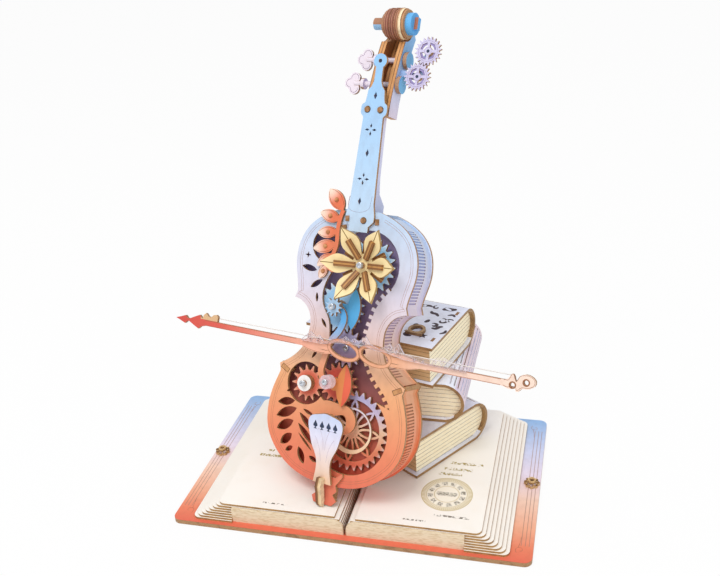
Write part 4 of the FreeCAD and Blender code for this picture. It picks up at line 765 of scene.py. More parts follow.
def hairMaterial():
    paint = Paint("hairCord", 0.7)
    twist = paint.along(celloBase, across) * 1.6
    return paint.finish(paint.mix((twist.fraction() > 0.5) * 0.3, "efe9e4", "cfc6c0"))


dress(hairMaterial(), "bow_hair")


def buttonMaterial():
    paint = Paint("buttonPrint", 0.45)
    colour = paint.mix(paint.noise(200, 2).soft(0.4, 0.7) * 0.3, "f4f1ee", "ded6cf")
    edge = cutEdge(paint, paint.along(celloBase, outward))
    return paint.finish(paint.mix(paint.facing(outward), edge, colour))


dress(buttonMaterial(), "output_button")
print("metal and clear parts dressed")


# Modelling helpers
def nothingSelected():
    if bpy.context.object and bpy.context.object.mode != "OBJECT":
        bpy.ops.object.mode_set(mode="OBJECT")
    bpy.ops.object.select_all(action="DESELECT")


def begin(name, operator, **values):
    nothingSelected()
    operator(**values)
    piece = bpy.context.object
    piece.name = name
    piece.data.name = name
    return piece


def settle(piece, placing):
    # Puts the place into the mesh, so that the object itself stays at the origin
    piece.data.transform(placing @ piece.matrix_world)
    piece.matrix_world = Matrix.Identity(4)
    return piece


def applyAll(piece):
    nothingSelected()
    bpy.context.view_layer.objects.active = piece
    piece.select_set(True)
    for modifier in list(piece.modifiers):
        bpy.ops.object.modifier_apply(modifier=modifier.name)


def joined(pieces, name):
    nothingSelected()
    for piece in pieces:
        piece.select_set(True)
    bpy.context.view_layer.objects.active = pieces[0]
    if len(pieces) > 1:
        bpy.ops.object.join()
    piece = bpy.context.object
    piece.name = name
    piece.data.name = name
    return piece


def fit(piece, material, body, slot=None, *replaced):
    # Its one material, the body it rides on, its slot, which is not used, and the nodes it stands for
    piece.data.materials.clear()
    piece.data.materials.append(material)
    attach(piece, body)
    if replaced:
        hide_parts(*replaced)


def editFaces(piece, chosen):
    # Edit mode, with only the chosen faces selected
    bpy.context.tool_settings.mesh_select_mode = (False, False, True)
    for polygon in piece.data.polygons:
        polygon.select = chosen(polygon)
    bpy.ops.object.mode_set(mode="EDIT")


def turnOutward(join=0):
    # Every face turned outwards, after points that meet are joined
    bpy.ops.object.mode_set(mode="EDIT")
    bpy.ops.mesh.select_all(action="SELECT")
    if join:
        bpy.ops.mesh.remove_doubles(threshold=join)
    bpy.ops.mesh.normals_make_consistent(inside=False)
    bpy.ops.object.mode_set(mode="OBJECT")


def makeBox(name, centre, size, turn=0):
    box = begin(name, bpy.ops.mesh.primitive_cube_add, size=1)
    box.scale = size
    box.rotation_euler.z = math.radians(turn)
    box.location = centre
    bpy.context.view_layer.update()
    return settle(box, celloFrame)


def smoothPath(points, steps=8):
    # Points along a smooth line through the given places
    last = len(points) - 1
    path = []
    for i in range(last):
        p = [Vector(points[min(max(k, 0), last)]) for k in (i - 1, i, i + 1, i + 2)]
        for t in (step / steps for step in range(steps)):
            path.append(tuple(0.5 * (2 * p[1] + (p[2] - p[0]) * t
                                     + (2 * p[0] - 5 * p[1] + 4 * p[2] - p[3]) * t * t
                                     + (3 * p[1] - p[0] - 3 * p[2] + p[3]) * t * t * t)))
    return path + [tuple(points[-1])]


def wayAt(path, i):
    return (Vector(path[min(i + 1, len(path) - 1)]) - Vector(path[max(i - 1, 0)])).normalized()


def curvePiece(name, paths, closed, level, **settings):
    # A mesh made from a curve of straight lines on one level
    nothingSelected()
    curve = bpy.data.curves.new(name, "CURVE")
    for key, value in settings.items():
        setattr(curve, key, value)
    for path in paths:
        spline = curve.splines.new("POLY")
        spline.points.add(len(path) - 1)
        for point, (x, y) in zip(spline.points, path):
            point.co = (x, y, level, 1)
        spline.use_cyclic_u = closed
    piece = bpy.data.objects.new(name, curve)
    scene.collection.objects.link(piece)
    bpy.context.view_layer.objects.active = piece
    piece.select_set(True)
    bpy.ops.object.convert(target="MESH")
    return bpy.context.object


def engraved(name, paths, width, level, material, body, placing=celloFrame, closed=False):
    # Burnt lines on a face: round wires sunk so that only their backs show
    piece = curvePiece(name, paths, closed, level - lineLook["sunk"], dimensions="3D", bevel_depth=width / 2,
                       bevel_resolution=0)
    fit(settle(piece, placing), material, body)


def inlaid(name, shapes, level, material, body, placing=celloFrame, thick=0.12, slot=None, *replaced):
    # Flat shapes let into a face, each a closed path, standing just clear of it
    piece = curvePiece(name, shapes, True, 0, dimensions="2D", fill_mode="BOTH", extrude=thick / 2)
    turnOutward(0.001)
    settle(piece, placing @ Matrix.Translation((0, 0, level - thick / 2 + lineLook["proud"])))
    fit(piece, material, body, slot, *replaced)


def cutSheet(name, shapes, low, high, material, body, slot, *replaced, placing=celloFrame):
    # A flat sheet with its openings, between two levels
    inlaid(name, shapes, high - lineLook["proud"], material, body, placing, high - low, slot, *replaced)


def ribbon(path, width, ends):
    # A closed outline along the path, wide in the middle and narrow at its ends
    near, far = [], []
    for i, (x, y) in enumerate(path):
        way = wayAt(path, i)
        half = width / 2 * (ends + (1 - ends) * math.sin(math.pi * i / (len(path) - 1)) ** 0.7)
        near.append((x - way.y * half, y + way.x * half))
        far.append((x + way.y * half, y - way.x * half))
    return near + far[::-1]


def curl(centre, size, start, turns, steps=22):
    # Points of a spiral that opens out from its middle
    return [polar(centre, size * (0.25 + 0.75 * i / steps), start + turns * 360 * i / steps)
            for i in range(steps + 1)]


def ring(centre, radius, count):
    return [polar(centre, radius, 360 * i / count) for i in range(count)]


def block(centre, length, width, turn=0):
    x, y = length / 2, width / 2
    return turned(((-x, -y), (x, -y), (x, y), (-x, y)), centre, turn)


def diamond(centre, length, width, turn=0):
    return turned(((0, length), (width, 0), (0, -length), (-width, 0)), centre, turn)


# Burnt line engraving
lineLook = {"ink": "9a6248", "width": 0.34, "sunk": 0.09, "proud": 0.03}


def inkMaterial(name, code, other="c79270"):
    paint = Paint(name, 0.7)
    return paint.finish(paint.mix(paint.noise(500, 2).soft(0.4, 0.7) * 0.5, code, other))


ink = inkMaterial("burntLine", lineLook["ink"])
# A dark colour for the painted shadow round the foot of the fingerboard studs
studShadeInk = inkMaterial("paintedStudShadow", "3d2a26", "5f4438")
navy = inkMaterial("navyGround", "26304a", "364468")
studWood = inkMaterial("studWood", "8a6238")
flatOnBase = Matrix.Scale(mm, 4)

# Half of the body's outline in three runs, as shares of its half widths and its length

lowerPoints = [(0, 0), (0.33, 0.0075), (0.62, 0.040), (0.85, 0.098), (0.965, 0.155), (1.0, 0.218),
               (0.975, 0.290), (0.915, 0.345), (0.88, 0.372)]
waistPoints = [(1.32, 0.440), (1.11, 0.480), (1.0, 0.545), (1.01, 0.580), (1.11, 0.615), (1.28, 0.638)]
upperPoints = [(0.91, 0.674), (0.945, 0.722), (0.99, 0.768), (1.0, 0.812), (0.955, 0.868), (0.84, 0.917),
               (0.67, 0.953), (0.46, 0.979), (0.316, 0.991)]
bodyLook = {"length": 170.0, "lower": 48.3, "waist": 25.6, "upper": 41.2, "insets": (2.7, 4.0)}


def sized(points, half):
    return [(half * x, bodyLook["length"] * y) for x, y in points]


lowerSide = sized(lowerPoints, bodyLook["lower"])
lowerCorner = (0.905 * bodyLook["lower"], 0.399 * bodyLook["length"])
upperCorner = (0.945 * bodyLook["upper"], 0.650 * bodyLook["length"])
waistSide = [lowerCorner] + sized(waistPoints, bodyLook["waist"]) + [upperCorner]
upperSide = sized(upperPoints, bodyLook["upper"])


def flipped(path):
    return [(-x, y) for x, y in reversed(path)]


def insetPath(path, inset):
    # The path moved to its inner side
    ways = [wayAt(path, i) for i in range(len(path))]
    return [(x - way.y * inset, y + way.x * inset) for (x, y), way in zip(path, ways)]


def borderLines():
    paths = []
    for inset in bodyLook["insets"]:
        right = insetPath(smoothPath(lowerSide), inset)
        waist = insetPath(smoothPath(waistSide), inset)[2:-2]
        upper = insetPath(smoothPath(upperSide), inset)[:-6]
        side = right + waist + upper
        paths += [side, [(-x, y) for x, y in side]]
    engraved("body_border_lines", paths, lineLook["width"], 0, ink, "stand")


borderLines()


# Ribs with fine kerfs: a strip of cells bent along the outline, given its thickness
ribLook = {"inset": 0.8, "thick": 1.5, "levels": (-22.0, -14.0, -4.0, -2.0), "pitch": 0.95, "gap": -1.1,
           "lining": 0.3, "liningLevels": (-15.0, -3.0), "liningCells": 60, "waist": 80, "waistHalf": 25,
           "edge": "9a6a45", "pale": "f6e2c8", "paleBand": (-12, 5.2),
           "stops": [(0.0, "e0492c"), (0.16, "e8713f"), (0.38, "e9a274"), (0.50, "e6c0ac"), (0.62, "dccbe0"),
                     (0.80, "c5cdec"), (1.0, "a6c6ec")],
           "liningStops": [(0, "a8542e"), (0.4, "b07a56"), (0.65, "a898c0"), (1, "7fa6d8")]}


def pathLengths(path):
    reach = [0.0]
    for first, second in zip(path, path[1:]):
        reach.append(reach[-1] + math.dist(first, second))
    return reach


def placeOn(path, reach, share):
    target = share * reach[-1]
    for i in range(len(path) - 1):
        if reach[i + 1] >= target:
            t = (target - reach[i]) / max(reach[i + 1] - reach[i], 1e-9)
            return (path[i][0] + (path[i + 1][0] - path[i][0]) * t, path[i][1] + (path[i + 1][1] - path[i][1]) * t)
    return path[-1]


def bentStrip(name, path, start, end, cells, levels):
    # A flat grid of cells, bent along part of the path
    rows = len(levels) - 1
    reach = pathLengths(path)
    piece = begin(name, bpy.ops.mesh.primitive_grid_add, x_subdivisions=cells, y_subdivisions=rows, size=2)
    for vertex in piece.data.vertices:
        place = placeOn(path, reach, start + (end - start) * (vertex.co.x + 1) / 2)
        vertex.co = (*place, levels[round((vertex.co.y + 1) / 2 * rows)])
    return piece


def thicken(piece, thickness):
    # The wall grows from the strip to the inside of the body
    middle = piece.data.polygons[len(piece.data.polygons) // 2]
    waist = abs(middle.center.y - ribLook["waist"]) < ribLook["waistHalf"]
    centre = Vector((0, ribLook["waist"] if waist else middle.center.y, middle.center.z))
    wall = piece.modifiers.new("wall", "SOLIDIFY")
    wall.thickness = thickness
    wall.offset = 1.0 if middle.normal.dot(centre - middle.center) > 0 else -1.0
    applyAll(piece)


def kerfedRib(node, strips, material):
    walls = []
    for number, (path, start, end, kerfs) in enumerate(strips):
        path = insetPath(path, ribLook["inset"])
        cells = int(pathLengths(path)[-1] * (end - start) / ribLook["pitch"])
        piece = bentStrip(node + str(number), path, start, end, cells, ribLook["levels"])

        def isKerf(polygon):
            column = polygon.index % cells
            share = start + (end - start) * (column + 0.5) / cells
            inside = ribLook["levels"][1] < polygon.center.z < ribLook["levels"][2]
            return inside and column % 2 == 1 and any(a < share < b for a, b in kerfs)

        editFaces(piece, isKerf)
        bpy.ops.mesh.delete(type="FACE")
        bpy.ops.object.mode_set(mode="OBJECT")
        turnOutward()
        thicken(piece, ribLook["thick"])
        walls.append(piece)
    fit(settle(joined(walls, node + "_kerfed"), celloFrame), material, "stand", "rib_print", node)


def ribLining(name, strips, material):
    # The shaded inside of the rib, seen through its kerfs
    walls = []
    for number, (path, start, end, kerfs) in enumerate(strips):
        path = insetPath(path, ribLook["inset"] + ribLook["thick"] + ribLook["gap"])
        short = 0.02 * (end - start)
        piece = bentStrip(name + str(number), path, start + short, end - short, ribLook["liningCells"],
                          ribLook["liningLevels"])
        thicken(piece, ribLook["lining"])
        walls.append(piece)
    piece = settle(joined(walls, name), celloFrame)
    turnOutward()
    fit(piece, material, "stand", "rib_print")


def ribMaterial():
    paint = Paint("ribPrint", 0.5)
    colour = faceWear(paint, paint.fade(paint.along(celloBase, upward), 0, bodyLook["length"], ribLook["stops"]))
    colour = paint.mix(paint.facing(outward, 0.7), colour, ribLook["edge"])
    inner = paint.along(celloBase, outward).near(*ribLook["paleBand"])
    return paint.finish(paint.mix(inner * 0.18, colour, ribLook["pale"]))


def liningMaterial():
    paint = Paint("ribLiningPrint", 0.6)
    return paint.finish(paint.fade(paint.along(celloBase, upward), 0, bodyLook["length"], ribLook["liningStops"]))


# Each strip's path, the shares of it where the strip runs, and those where it has kerfs
lowerHalf = smoothPath(lowerSide)
lowerPath = [(-lowerCorner[0], lowerCorner[1])] + flipped(lowerHalf)[:-1] + lowerHalf + [lowerCorner]
waistPath = smoothPath(waistSide)
upperPath = [upperCorner] + smoothPath(upperSide)
ribStrips = {"lower_rib": ((lowerPath, 0.01, 0.99, ((0.05, 0.34), (0.66, 0.95))),),
             "waist_ribs": ((waistPath, 0.05, 0.95, ((0.16, 0.84),)),
                            (flipped(waistPath), 0.05, 0.95, ((0.16, 0.84),))),
             "upper_ribs": ((upperPath, 0.0, 0.93, ((0.08, 0.74),)),
                            (flipped(upperPath), 0.07, 1.0, ((0.26, 0.92),)))}
ribPrint, liningPrint = ribMaterial(), liningMaterial()
dress(ribPrint, *ribStrips)
for node, strips in ribStrips.items():
    kerfedRib(node, strips, ribPrint)
for node, strips in ribStrips.items():
    ribLining(node.removesuffix("s") + "_lining", strips, liningPrint)
print("ribs and border lines made")


# Socket head screws on the gear axles
screwLook = {"radius": 1.9, "height": 1.7, "socket": 0.95, "depth": 0.8, "bevel": 0.25}


def makeScrew(name, spot, level, body):
    look = screwLook
    piece = begin(name, bpy.ops.mesh.primitive_cylinder_add, vertices=24, radius=look["radius"],
                  depth=look["height"], location=(0, 0, look["height"] / 2))
    bpy.ops.object.transform_apply(location=True, rotation=True, scale=True)
    editFaces(piece, lambda polygon: polygon.normal.z > 0.9)
    bpy.ops.mesh.bevel(offset=look["bevel"], segments=2, affect="EDGES")
    bpy.ops.object.mode_set(mode="OBJECT")
    editFaces(piece, lambda polygon: polygon.normal.z > 0.9 and polygon.area > 3)
    bpy.ops.mesh.inset(thickness=look["radius"] - look["bevel"] - look["socket"])
    bpy.ops.mesh.extrude_region_move(TRANSFORM_OT_translate={"value": (0, 0, -look["depth"])})
    bpy.ops.object.mode_set(mode="OBJECT")
    piece.data.shade_flat()
    settle(piece, celloFrame @ Matrix.Translation((spot[0], spot[1], level)))
    fit(piece, steel, body, "bright_steel")


for screw in (("output_screw_head", gears["output"], 3.4, "output_gear"),
              ("flower_screw_head", gears["flower"], 9.3, "flower"),
              ("hub_screw_head", gears["mid"], 8.75, "mid_gear"),
              ("relay_screw_head", gears["relay"], -2.5, "relay_gear"),
              ("pin_screw_head", crystalSpot, 10.2, "bow")):
    makeScrew(*screw)
print("screws made")


# Studs on the vine leaves
def rivetMaterial():
    paint = Paint("rivetWood", 0.45)
    return paint.finish(paint.mix(paint.noise(500, 2).soft(0.4, 0.7), "b06a3c", "d49a62"))


rivetWood = rivetMaterial()


def makeVineTrim():
    studs = []
    for number, leaf in enumerate(vineLeaves):
        spot = onLeaf(leaf, vineLook["middle"])
        stud = begin("stud" + str(number), bpy.ops.mesh.primitive_uv_sphere_add, segments=16, ring_count=8,
                     radius=vineLook["stud"], location=(*spot, vineLook["level"]))
        stud.scale.z = vineLook["rise"]
        bpy.context.view_layer.update()
        studs.append(settle(stud, celloFrame))
    piece = joined(studs, "vine_studs")
    bpy.ops.object.shade_smooth()
    fit(piece, rivetWood, "stand", "brown_wood")


makeVineTrim()


def leafLines(root, turn, length, width, first=0.14, last=0.92):
    # Both edges of a leaf, a little inside its outline
    lines = []
    for side in (-1, 1):
        shares = [first + (last - first) * i / 10 for i in range(11)]
        path = [(length * t, side * width * 0.40 * math.sin(math.pi * t) ** 0.8) for t in shares]
        lines.append(turned(path, root, turn))
    return lines


def vineLines():
    half, lines = vineLook["half"], []
    for leaf in vineLeaves:
        angle, length, width = leaf[2:]
        lines += leafLines(onLeaf(leaf, 0), angle, half * length, half * width)
    engraved("vine_leaf_lines", lines, 0.42, vineLook["level"], vineInk, "stand")


vineInk = inkMaterial("vineBurntLine", "7d3a24")
vineLines()


# Fingerboard foot: engraved line, brown tenon ends and studs at the nut
boardLook = {"level": 2.0, "line": ((-8.4, 176.5), (-8.7, 171.0), (-7.2, 168.2), (-2.0, 167.2), (2.6, 168.0),
                                    (5.6, 170.2), (6.2, 173.5), (6.6, 177.5)),
             "ends": ((-8.0, 162.8, 2.0, 2.4, 3.4, 8), (11.3, 162.6, 0.0, 2.4, 3.6, 4),
                      (-10.4, 157.6, 0.0, 3.2, 2.4, 12)),
             "studs": ((-4.35, 229.0), (4.35, 229.0), (2.9, 162.6)), "studRadius": 1.75, "studHeight": 0.9,
             "rim": 0.35, "endThick": 0.8, "endRise": 0.3}


def boardTrim():
    look = boardLook
    engraved("board_foot_line", [smoothPath(look["line"])], 0.36, look["level"], boardInk, "stand")
    # A dark ring round the foot of each stud is painted shadow
    rims = [ring(spot, look["studRadius"] + look["rim"], 24) for spot in look["studs"]]
    inlaid("board_stud_shadow_rings", rims, look["level"], studShadeInk, "stand")
    ends = [makeBox("tenonEnd" + str(number), (x, y, level + look["endRise"]), (wide, tall, look["endThick"]), turn)
            for number, (x, y, level, wide, tall, turn) in enumerate(look["ends"])]
    for number, (x, y) in enumerate(look["studs"]):
        stud = begin("nutStud" + str(number), bpy.ops.mesh.primitive_cylinder_add, vertices=24,
                     radius=look["studRadius"], depth=look["studHeight"],
                     location=(x, y, look["level"] + look["studHeight"] / 2 - 0.1))
        ends.append(settle(stud, celloFrame))
    fit(joined(ends, "board_wood_ends"), studWood, "stand", "brown_wood")


# Fingerboard sheet: half of its outline, the eye of its tongue, and its crosses and diamonds
boardCut = {"side": ((6.4, 155.5), (6.4, 158.9), (9.6, 162.2), (9.6, 165.6), (8.2, 172.4), (6.6, 224.4), (8.3, 226.2),
                     (8.7, 227.6), (8.7, 230.4), (8.3, 231.8), (6.5, 233.2), (5.9, 236.0), (5.5, 240.4),
                     (3.6, 242.8), (2.4, 246.0), (2.3, 253.6)),
            "eye": (0, 258.1), "eyeRadius": 4.3, "eyeHole": 1.2,
            "diamonds": ((-0.2, 237.3), (-0.7, 202.9), (-1.5, 173.9)), "crosses": ((-0.4, 216.9), (-1.1, 187.3)),
            "long": 2.6, "wide": 1.15, "reach": 2.4, "armLong": 1.65, "armWide": 0.75, "ground": 1.3, "thick": 2.0}


def boardSheet():
    look = boardCut
    eye = [polar(look["eye"], look["eyeRadius"], angle) for angle in range(-57, 238, 14)]
    side = list(look["side"])
    hole = ring(look["eye"], look["eyeHole"], 20)
    cuts = [diamond(spot, look["long"], look["wide"]) for spot in look["diamonds"]]
    for spot in look["crosses"]:
        cuts += [diamond(polar(spot, look["reach"], turn + 90), look["armLong"], look["armWide"], turn)
                 for turn in (0, 90, 180, 270)]
    ground = ring(look["eye"], look["eyeHole"] + 0.2, 20)
    inlaid("board_grounds", [ground] + cuts, look["ground"], navy, "stand")
    cutSheet("fingerboard_sheet", [side + eye + flipped(side), hole] + cuts, 0, look["thick"],
             nodes["fingerboard"].material_slots[0].material, "stand", "board_blue", "fingerboard")


boardInk = inkMaterial("boardBurntLine", "7f7a9a")
boardSheet()
boardTrim()


# Tailpiece: navy grounds behind its cut-outs and two engraved curves
tailLook = {"foot": 2.0, "lift": 3.4, "tilt": 7.5, "thick": 2.0, "top": 45.6, "count": 4, "pitch": 4.6,
            "ground": (2.6, 4.4), "groundLevel": 4.0,
            "curve": ((-5.6, 34.9), (-4.6, 35.6), (-3.2, 34.9), (-2.0, 32.2), (-0.9, 28.0), (-0.55, 23.0)),
            "outer": ((-6.8, 30.6), (-5.4, 28.6), (-3.9, 25.4), (-2.6, 21.0), (-1.9, 15.5)),
            "spade": ((0, 3.9), (0.4, 3.0), (0.8, 2.2), (1.35, 1.3), (1.5, 0.5), (1.15, -0.2), (0.5, -0.2),
                      (0.4, -0.9), (1.2, -1.5), (0, -1.7))}


def tailTrim():
    look = tailLook
    placing = (celloFrame @ Matrix.Translation((0, look["foot"], look["lift"]))
               @ Matrix.Rotation(math.radians(look["tilt"]), 4, "X")
               @ Matrix.Translation((0, -look["foot"], -look["lift"])))
    paths = [smoothPath([(side * x, y) for x, y in look[name]]) for name in ("curve", "outer") for side in (-1, 1)]
    face = look["lift"] + look["thick"]
    engraved("tail_lines", paths, 0.3, face, tailInk, "stand", placing)
    level = look["top"] - (look["top"] - look["foot"]) / 5
    grounds, marks = [], []
    for number in range(look["count"]):
        x = look["pitch"] * (number - (look["count"] - 1) / 2)
        grounds.append(block((x, level + 0.1), *look["ground"]))
        marks.append([(x + wide, level + high) for wide, high in look["spade"]]
                     + [(x - wide, level + high) for wide, high in look["spade"][-2:0:-1]])
    inlaid("tail_grounds", grounds, look["groundLevel"], navy, "stand", placing)
    inlaid("tail_fleur_marks", marks, face, navy, "stand", placing)


tailInk = inkMaterial("tailBurntLine", "9b8aa6")
tailTrim()


# Scrollwork cut through the board of the top book, a stand-in made of common curls
bookArt = {"level": 98.2, "ink": "33242c", "bold": 1.35,
           "strokes": ((((26.3, 56.8), (28.6, 54.5), (32.5, 54.4), (34.6, 52.9)), 2.0),
                       (((28.0, 52.6), (29.5, 54.3), (30.1, 56.2)), 1.4),
                       (((42.0, 49.4), (44.5, 50.8), (48.0, 50.4), (51.2, 51.3)), 3.4),
                       (((43.4, 52.9), (45.7, 50.9), (47.7, 48.9)), 1.7),
                       (((35.0, 46.9), (36.0, 44.4), (38.7, 43.3), (40.8, 40.1)), 2.1),
                       (((33.3, 30.9), (34.8, 32.6), (35.8, 34.9)), 2.1),
                       (((31.2, 22.3), (28.4, 21.4), (24.9, 18.5), (22.5, 18.5)), 1.2),
                       (((39.0, 24.1), (41.7, 23.3), (43.6, 25.5), (46.1, 26.4)), 2.3),
                       (((26.3, 16.3), (24.2, 15.0), (24.9, 12.8), (28.2, 12.1)), 2.3),
                       (((46.5, 41.9), (49.7, 43.0), (51.5, 40.4)), 1.6),
                       (((45.2, 16.8), (48.1, 18.8), (48.7, 21.9)), 1.6)),
           "curls": ((37.5, 52.7, 2.1, 20, -0.8, 1.2), (44.2, 33.8, 3.2, 150, 0.85, 1.3),
                     (40.0, 27.8, 2.2, 200, 0.8, 1.7), (48.8, 34.6, 2.2, 300, -0.8, 1.2),
                     (29.3, 26.9, 2.4, 60, 0.7, 1.3)),
           "star": (35.3, 13.1, 3.3, 1.5), "slots": ((52.3, 45.4, 4.6, 1.9, 75), (42.6, 8.9, 4.6, 1.9, 75))}


def bookScrolls():
    look = bookArt
    bold = look["bold"]
    shapes = [ribbon(smoothPath(path, 6), wide * bold, 0.25) for path, wide in look["strokes"]]
    for x, y, size, start, turns, wide in look["curls"]:
        shapes.append(ribbon(curl((x, y), size * 1.2, start, turns), wide * bold, 0.3))
    x, y, far, near = look["star"]
    shapes.append([polar((x, y), near if i % 2 else far, 36 * i + 18) for i in range(10)])
    inlaid("top_book_scrolls", shapes, look["level"], bookInk, "stand", flatOnBase)
    slots = [block((x, y), *size) for x, y, *size in look["slots"]]
    inlaid("top_book_slots", slots, look["level"], studWood, "stand", flatOnBase)


bookInk = inkMaterial("bookCutInk", bookArt["ink"], "57404a")
bookScrolls()


# Engraved curls at the corners of the base
baseArt = {"level": 3.0, "x": 103.5, "y": 62.0, "size": 3.0, "stem": ((1.2, 2.0), (0.4, 6.0), (0, 11.0))}


def baseCurls():
    paths = []
    for sx, sy in ((-1, -1), (-1, 1), (1, -1), (1, 1)):
        x, y = sx * baseArt["x"], sy * baseArt["y"]
        paths.append(curl((x, y), baseArt["size"], 90 * sy, 0.9 * sx * -sy))
        paths.append([(x - sx * right, y - sy * back) for right, back in baseArt["stem"]])
    engraved("base_corner_curls", paths, 0.4, baseArt["level"], ink, "stand", flatOnBase)


baseCurls()


# Clasp rosettes: a scalloped plate with eight small holes and a bored stud
rosetteLook = {"x": 105.7, "y": -0.6, "radius": 4.5, "scallop": 0.5, "petals": 8, "holeReach": 3.3, "holeLong": 0.75,
               "holeWide": 0.45, "low": 3.0, "middle": 5.0, "high": 7.0, "stud": 2.5, "bore": 1.6}


def claspRosettes():
    look = rosetteLook
    plates, studs = [], []
    for side in (-1, 1):
        spot = (side * look["x"], look["y"])
        plates.append([polar(spot, look["radius"] + look["scallop"] * math.cos(math.radians(look["petals"] * turn)),
                             turn) for turn in (360 * i / 64 for i in range(64))])
        for i in range(look["petals"]):
            turn = 360 / look["petals"] * (i + 0.5)
            plates.append(diamond(polar(spot, look["holeReach"], turn), look["holeLong"], look["holeWide"],
                                  turn - 90))
        studs += [ring(spot, look["stud"], 28), ring(spot, look["bore"], 24)]
    material = nodes["cover_clasps"].material_slots[0].material
    cutSheet("clasp_rosettes", plates, look["low"], look["middle"], material, "stand", "brown_wood", "cover_clasps",
             placing=flatOnBase)
    cutSheet("clasp_studs", studs, look["middle"] - 0.02, look["high"] - 0.02, material, "stand", "brown_wood",
             placing=flatOnBase)


claspRosettes()


# Clear lace over the bow: a thin sheet with curls cut out of it
laceLook = {"ridge": 90.8, "rise": 6.2, "left": -22.9, "right": 83.9, "low": 10.7, "high": 12.5, "cut": 1.1,
            "wave": ((0, -0.6), (0.02, -0.3), (0.05, 0.25), (0.08, -0.1), (0.11, 0.05), (0.14, -0.45), (0.19, -0.2),
                     (0.235, -0.15), (0.275, 0.4), (0.305, 0.1), (0.33, 0.35), (0.36, 0.15), (0.40, 0.75),
                     (0.43, 0.1), (0.49, -0.2), (0.52, 0.1), (0.547, 0.5), (0.57, 0.1), (0.60, 0.65),
                     (0.64, -0.2), (0.70, -0.35), (0.76, -0.3), (0.82, 0), (0.87, 0.15), (0.91, -0.1),
                     (0.95, 0.1), (1, -0.55)),
            "foot": ((83.9, 86.0), (62, 86.0), (46, 86.2), (40, 87.2), (34, 88.4), (27, 88.3), (20, 89.6),
                     (16, 88.6), (11, 89.5), (4, 88.4), (-2, 87.6), (-8, 86.2), (-22.9, 86.0)),
            "curls": ((-17.6, 89.4, 2.2), (-11.8, 88.5, 1.6), (6.4, 91.3, 1.4), (12.3, 91.4, 1.3), (19.8, 92.4, 2.0),
                      (35.4, 91.4, 1.8), (41.2, 91.0, 2.6), (51.8, 87.3, 0.9), (57.8, 87.4, 1.0),
                      (64.2, 88.3, 1.7), (70.1, 88.9, 2.1), (76.2, 88.2, 1.7), (80.4, 87.8, 1.4))}


def clearLace():
    look = laceLook
    span = look["right"] - look["left"]
    shapes = [[(look["left"] + span * x, look["ridge"] + look["rise"] * y) for x, y in look["wave"]]
              + list(look["foot"])]
    for number, (x, y, size) in enumerate(look["curls"]):
        way = -1 if number % 2 else 1
        wide = min(look["cut"], size * 0.55)
        shapes.append(ribbon(curl((x, y), size - wide / 2, 90 - 60 * way, 0.8 * way), wide, 0.3))
    cutSheet("bow_lace", shapes, look["low"], look["high"], laceMaterial(), "bow", "clear_plastic", "bow_crystal")


def laceMaterial():
    # Almost unseen from the front; its cut edges are near white and more opaque, a painted highlight
    paint = Paint("clearLace", 0.1)
    face = paint.facing(outward, 0.9)
    return paint.finish(paint.mix(face, "efdfe6", "f6f0f6"), alpha=0.75 - face * 0.63)


clearLace()


# Burnt outline of the frog, and dark cuts of the scroll gears, with painted shade in their axle holes
frogLook = {"level": 10.6,
            "line": ((105.5, 86.4), (108.2, 86.5), (109.4, 89.0), (109.9, 90.0), (110.8, 89.9), (111.5, 88.3),
                     (112.5, 86.3), (113.4, 87.4), (114.4, 89.4), (116.3, 90.3), (119.0, 90.6), (121.5, 89.7),
                     (122.7, 88.4), (122.9, 86.6), (121.6, 84.9), (119.0, 83.9), (116.0, 83.6), (114.2, 82.0),
                     (113.4, 81.7), (112.8, 83.0), (111.0, 83.4), (108.0, 82.6), (105.5, 83.2))}
cutLook = {"gears": (("scroll_gear_lower", (20.3, 251.6)), ("scroll_gear_upper", (25.24, 266.82))),
           "hubRadius": 1.0, "hubRing": 2.3, "gearRing": 6.1, "gearLevel": -8.4, "web": (3.9, 6.2), "sink": 0.5}


def darkCuts():
    look = cutLook
    for body, spot in look["gears"]:
        # A navy disc on each gear's axle is painted shade, standing for the dark hole there
        inlaid(body + "_eye", [ring(spot, look["hubRadius"], 16)], look["gearLevel"], navy, body)
        inlaid(body + "_web", [ring(spot, radius, 40) for radius in look["web"]],
               look["gearLevel"] - look["sink"], webPrint, body)
        circles = [ring(spot, radius, 40) for radius in (look["hubRing"], look["gearRing"])]
        engraved(body + "_rings", circles, 0.3, look["gearLevel"], pegInk, body, closed=True)
    engraved("frog_line", [smoothPath(frogLook["line"], 4)], 0.4, frogLook["level"], frogInk, "bow")


webPrint = inkMaterial("gearWebPrint", "8f84b8", "a89ccc")
loopLook = {"middles": (5.6, 26.6), "line": 84.6, "long": 11.4, "high": 6.3, "band": 2.4, "tilt": -9.0,
            "edge": 0.25, "forks": (((-27.4, 84.6), 0), ((59.6, 84.6), 180)), "forkLong": 34.2,
            "forkWide": 9.6}


def loopLines():
    # Burnt rims of the two loops of the bow
    look, paths = loopLook, []
    for middle in look["middles"]:
        for shrink in (look["edge"], look["band"] - look["edge"]):
            half, tall = look["long"] - shrink, look["high"] - shrink
            angles = [2 * math.pi * i / 48 for i in range(48)]
            paths.append(turned([(half * math.cos(t), tall * math.sin(t)) for t in angles],
                                (middle, look["line"]), look["tilt"]))
    forks = [line for root, turn in look["forks"]
             for line in leafLines(root, turn, look["forkLong"], look["forkWide"], 0.16, 0.60)]
    engraved("bow_fork_lines", forks, 0.42, frogLook["level"], frogInk, "bow")
    engraved("bow_loop_lines", paths, 0.42, frogLook["level"], frogInk, "bow", closed=True)


frogInk = inkMaterial("frogBurntLine", "8a5234")
pegInk = inkMaterial("pegBurntLine", "66506c", "8f7c94")
darkCuts()
loopLines()


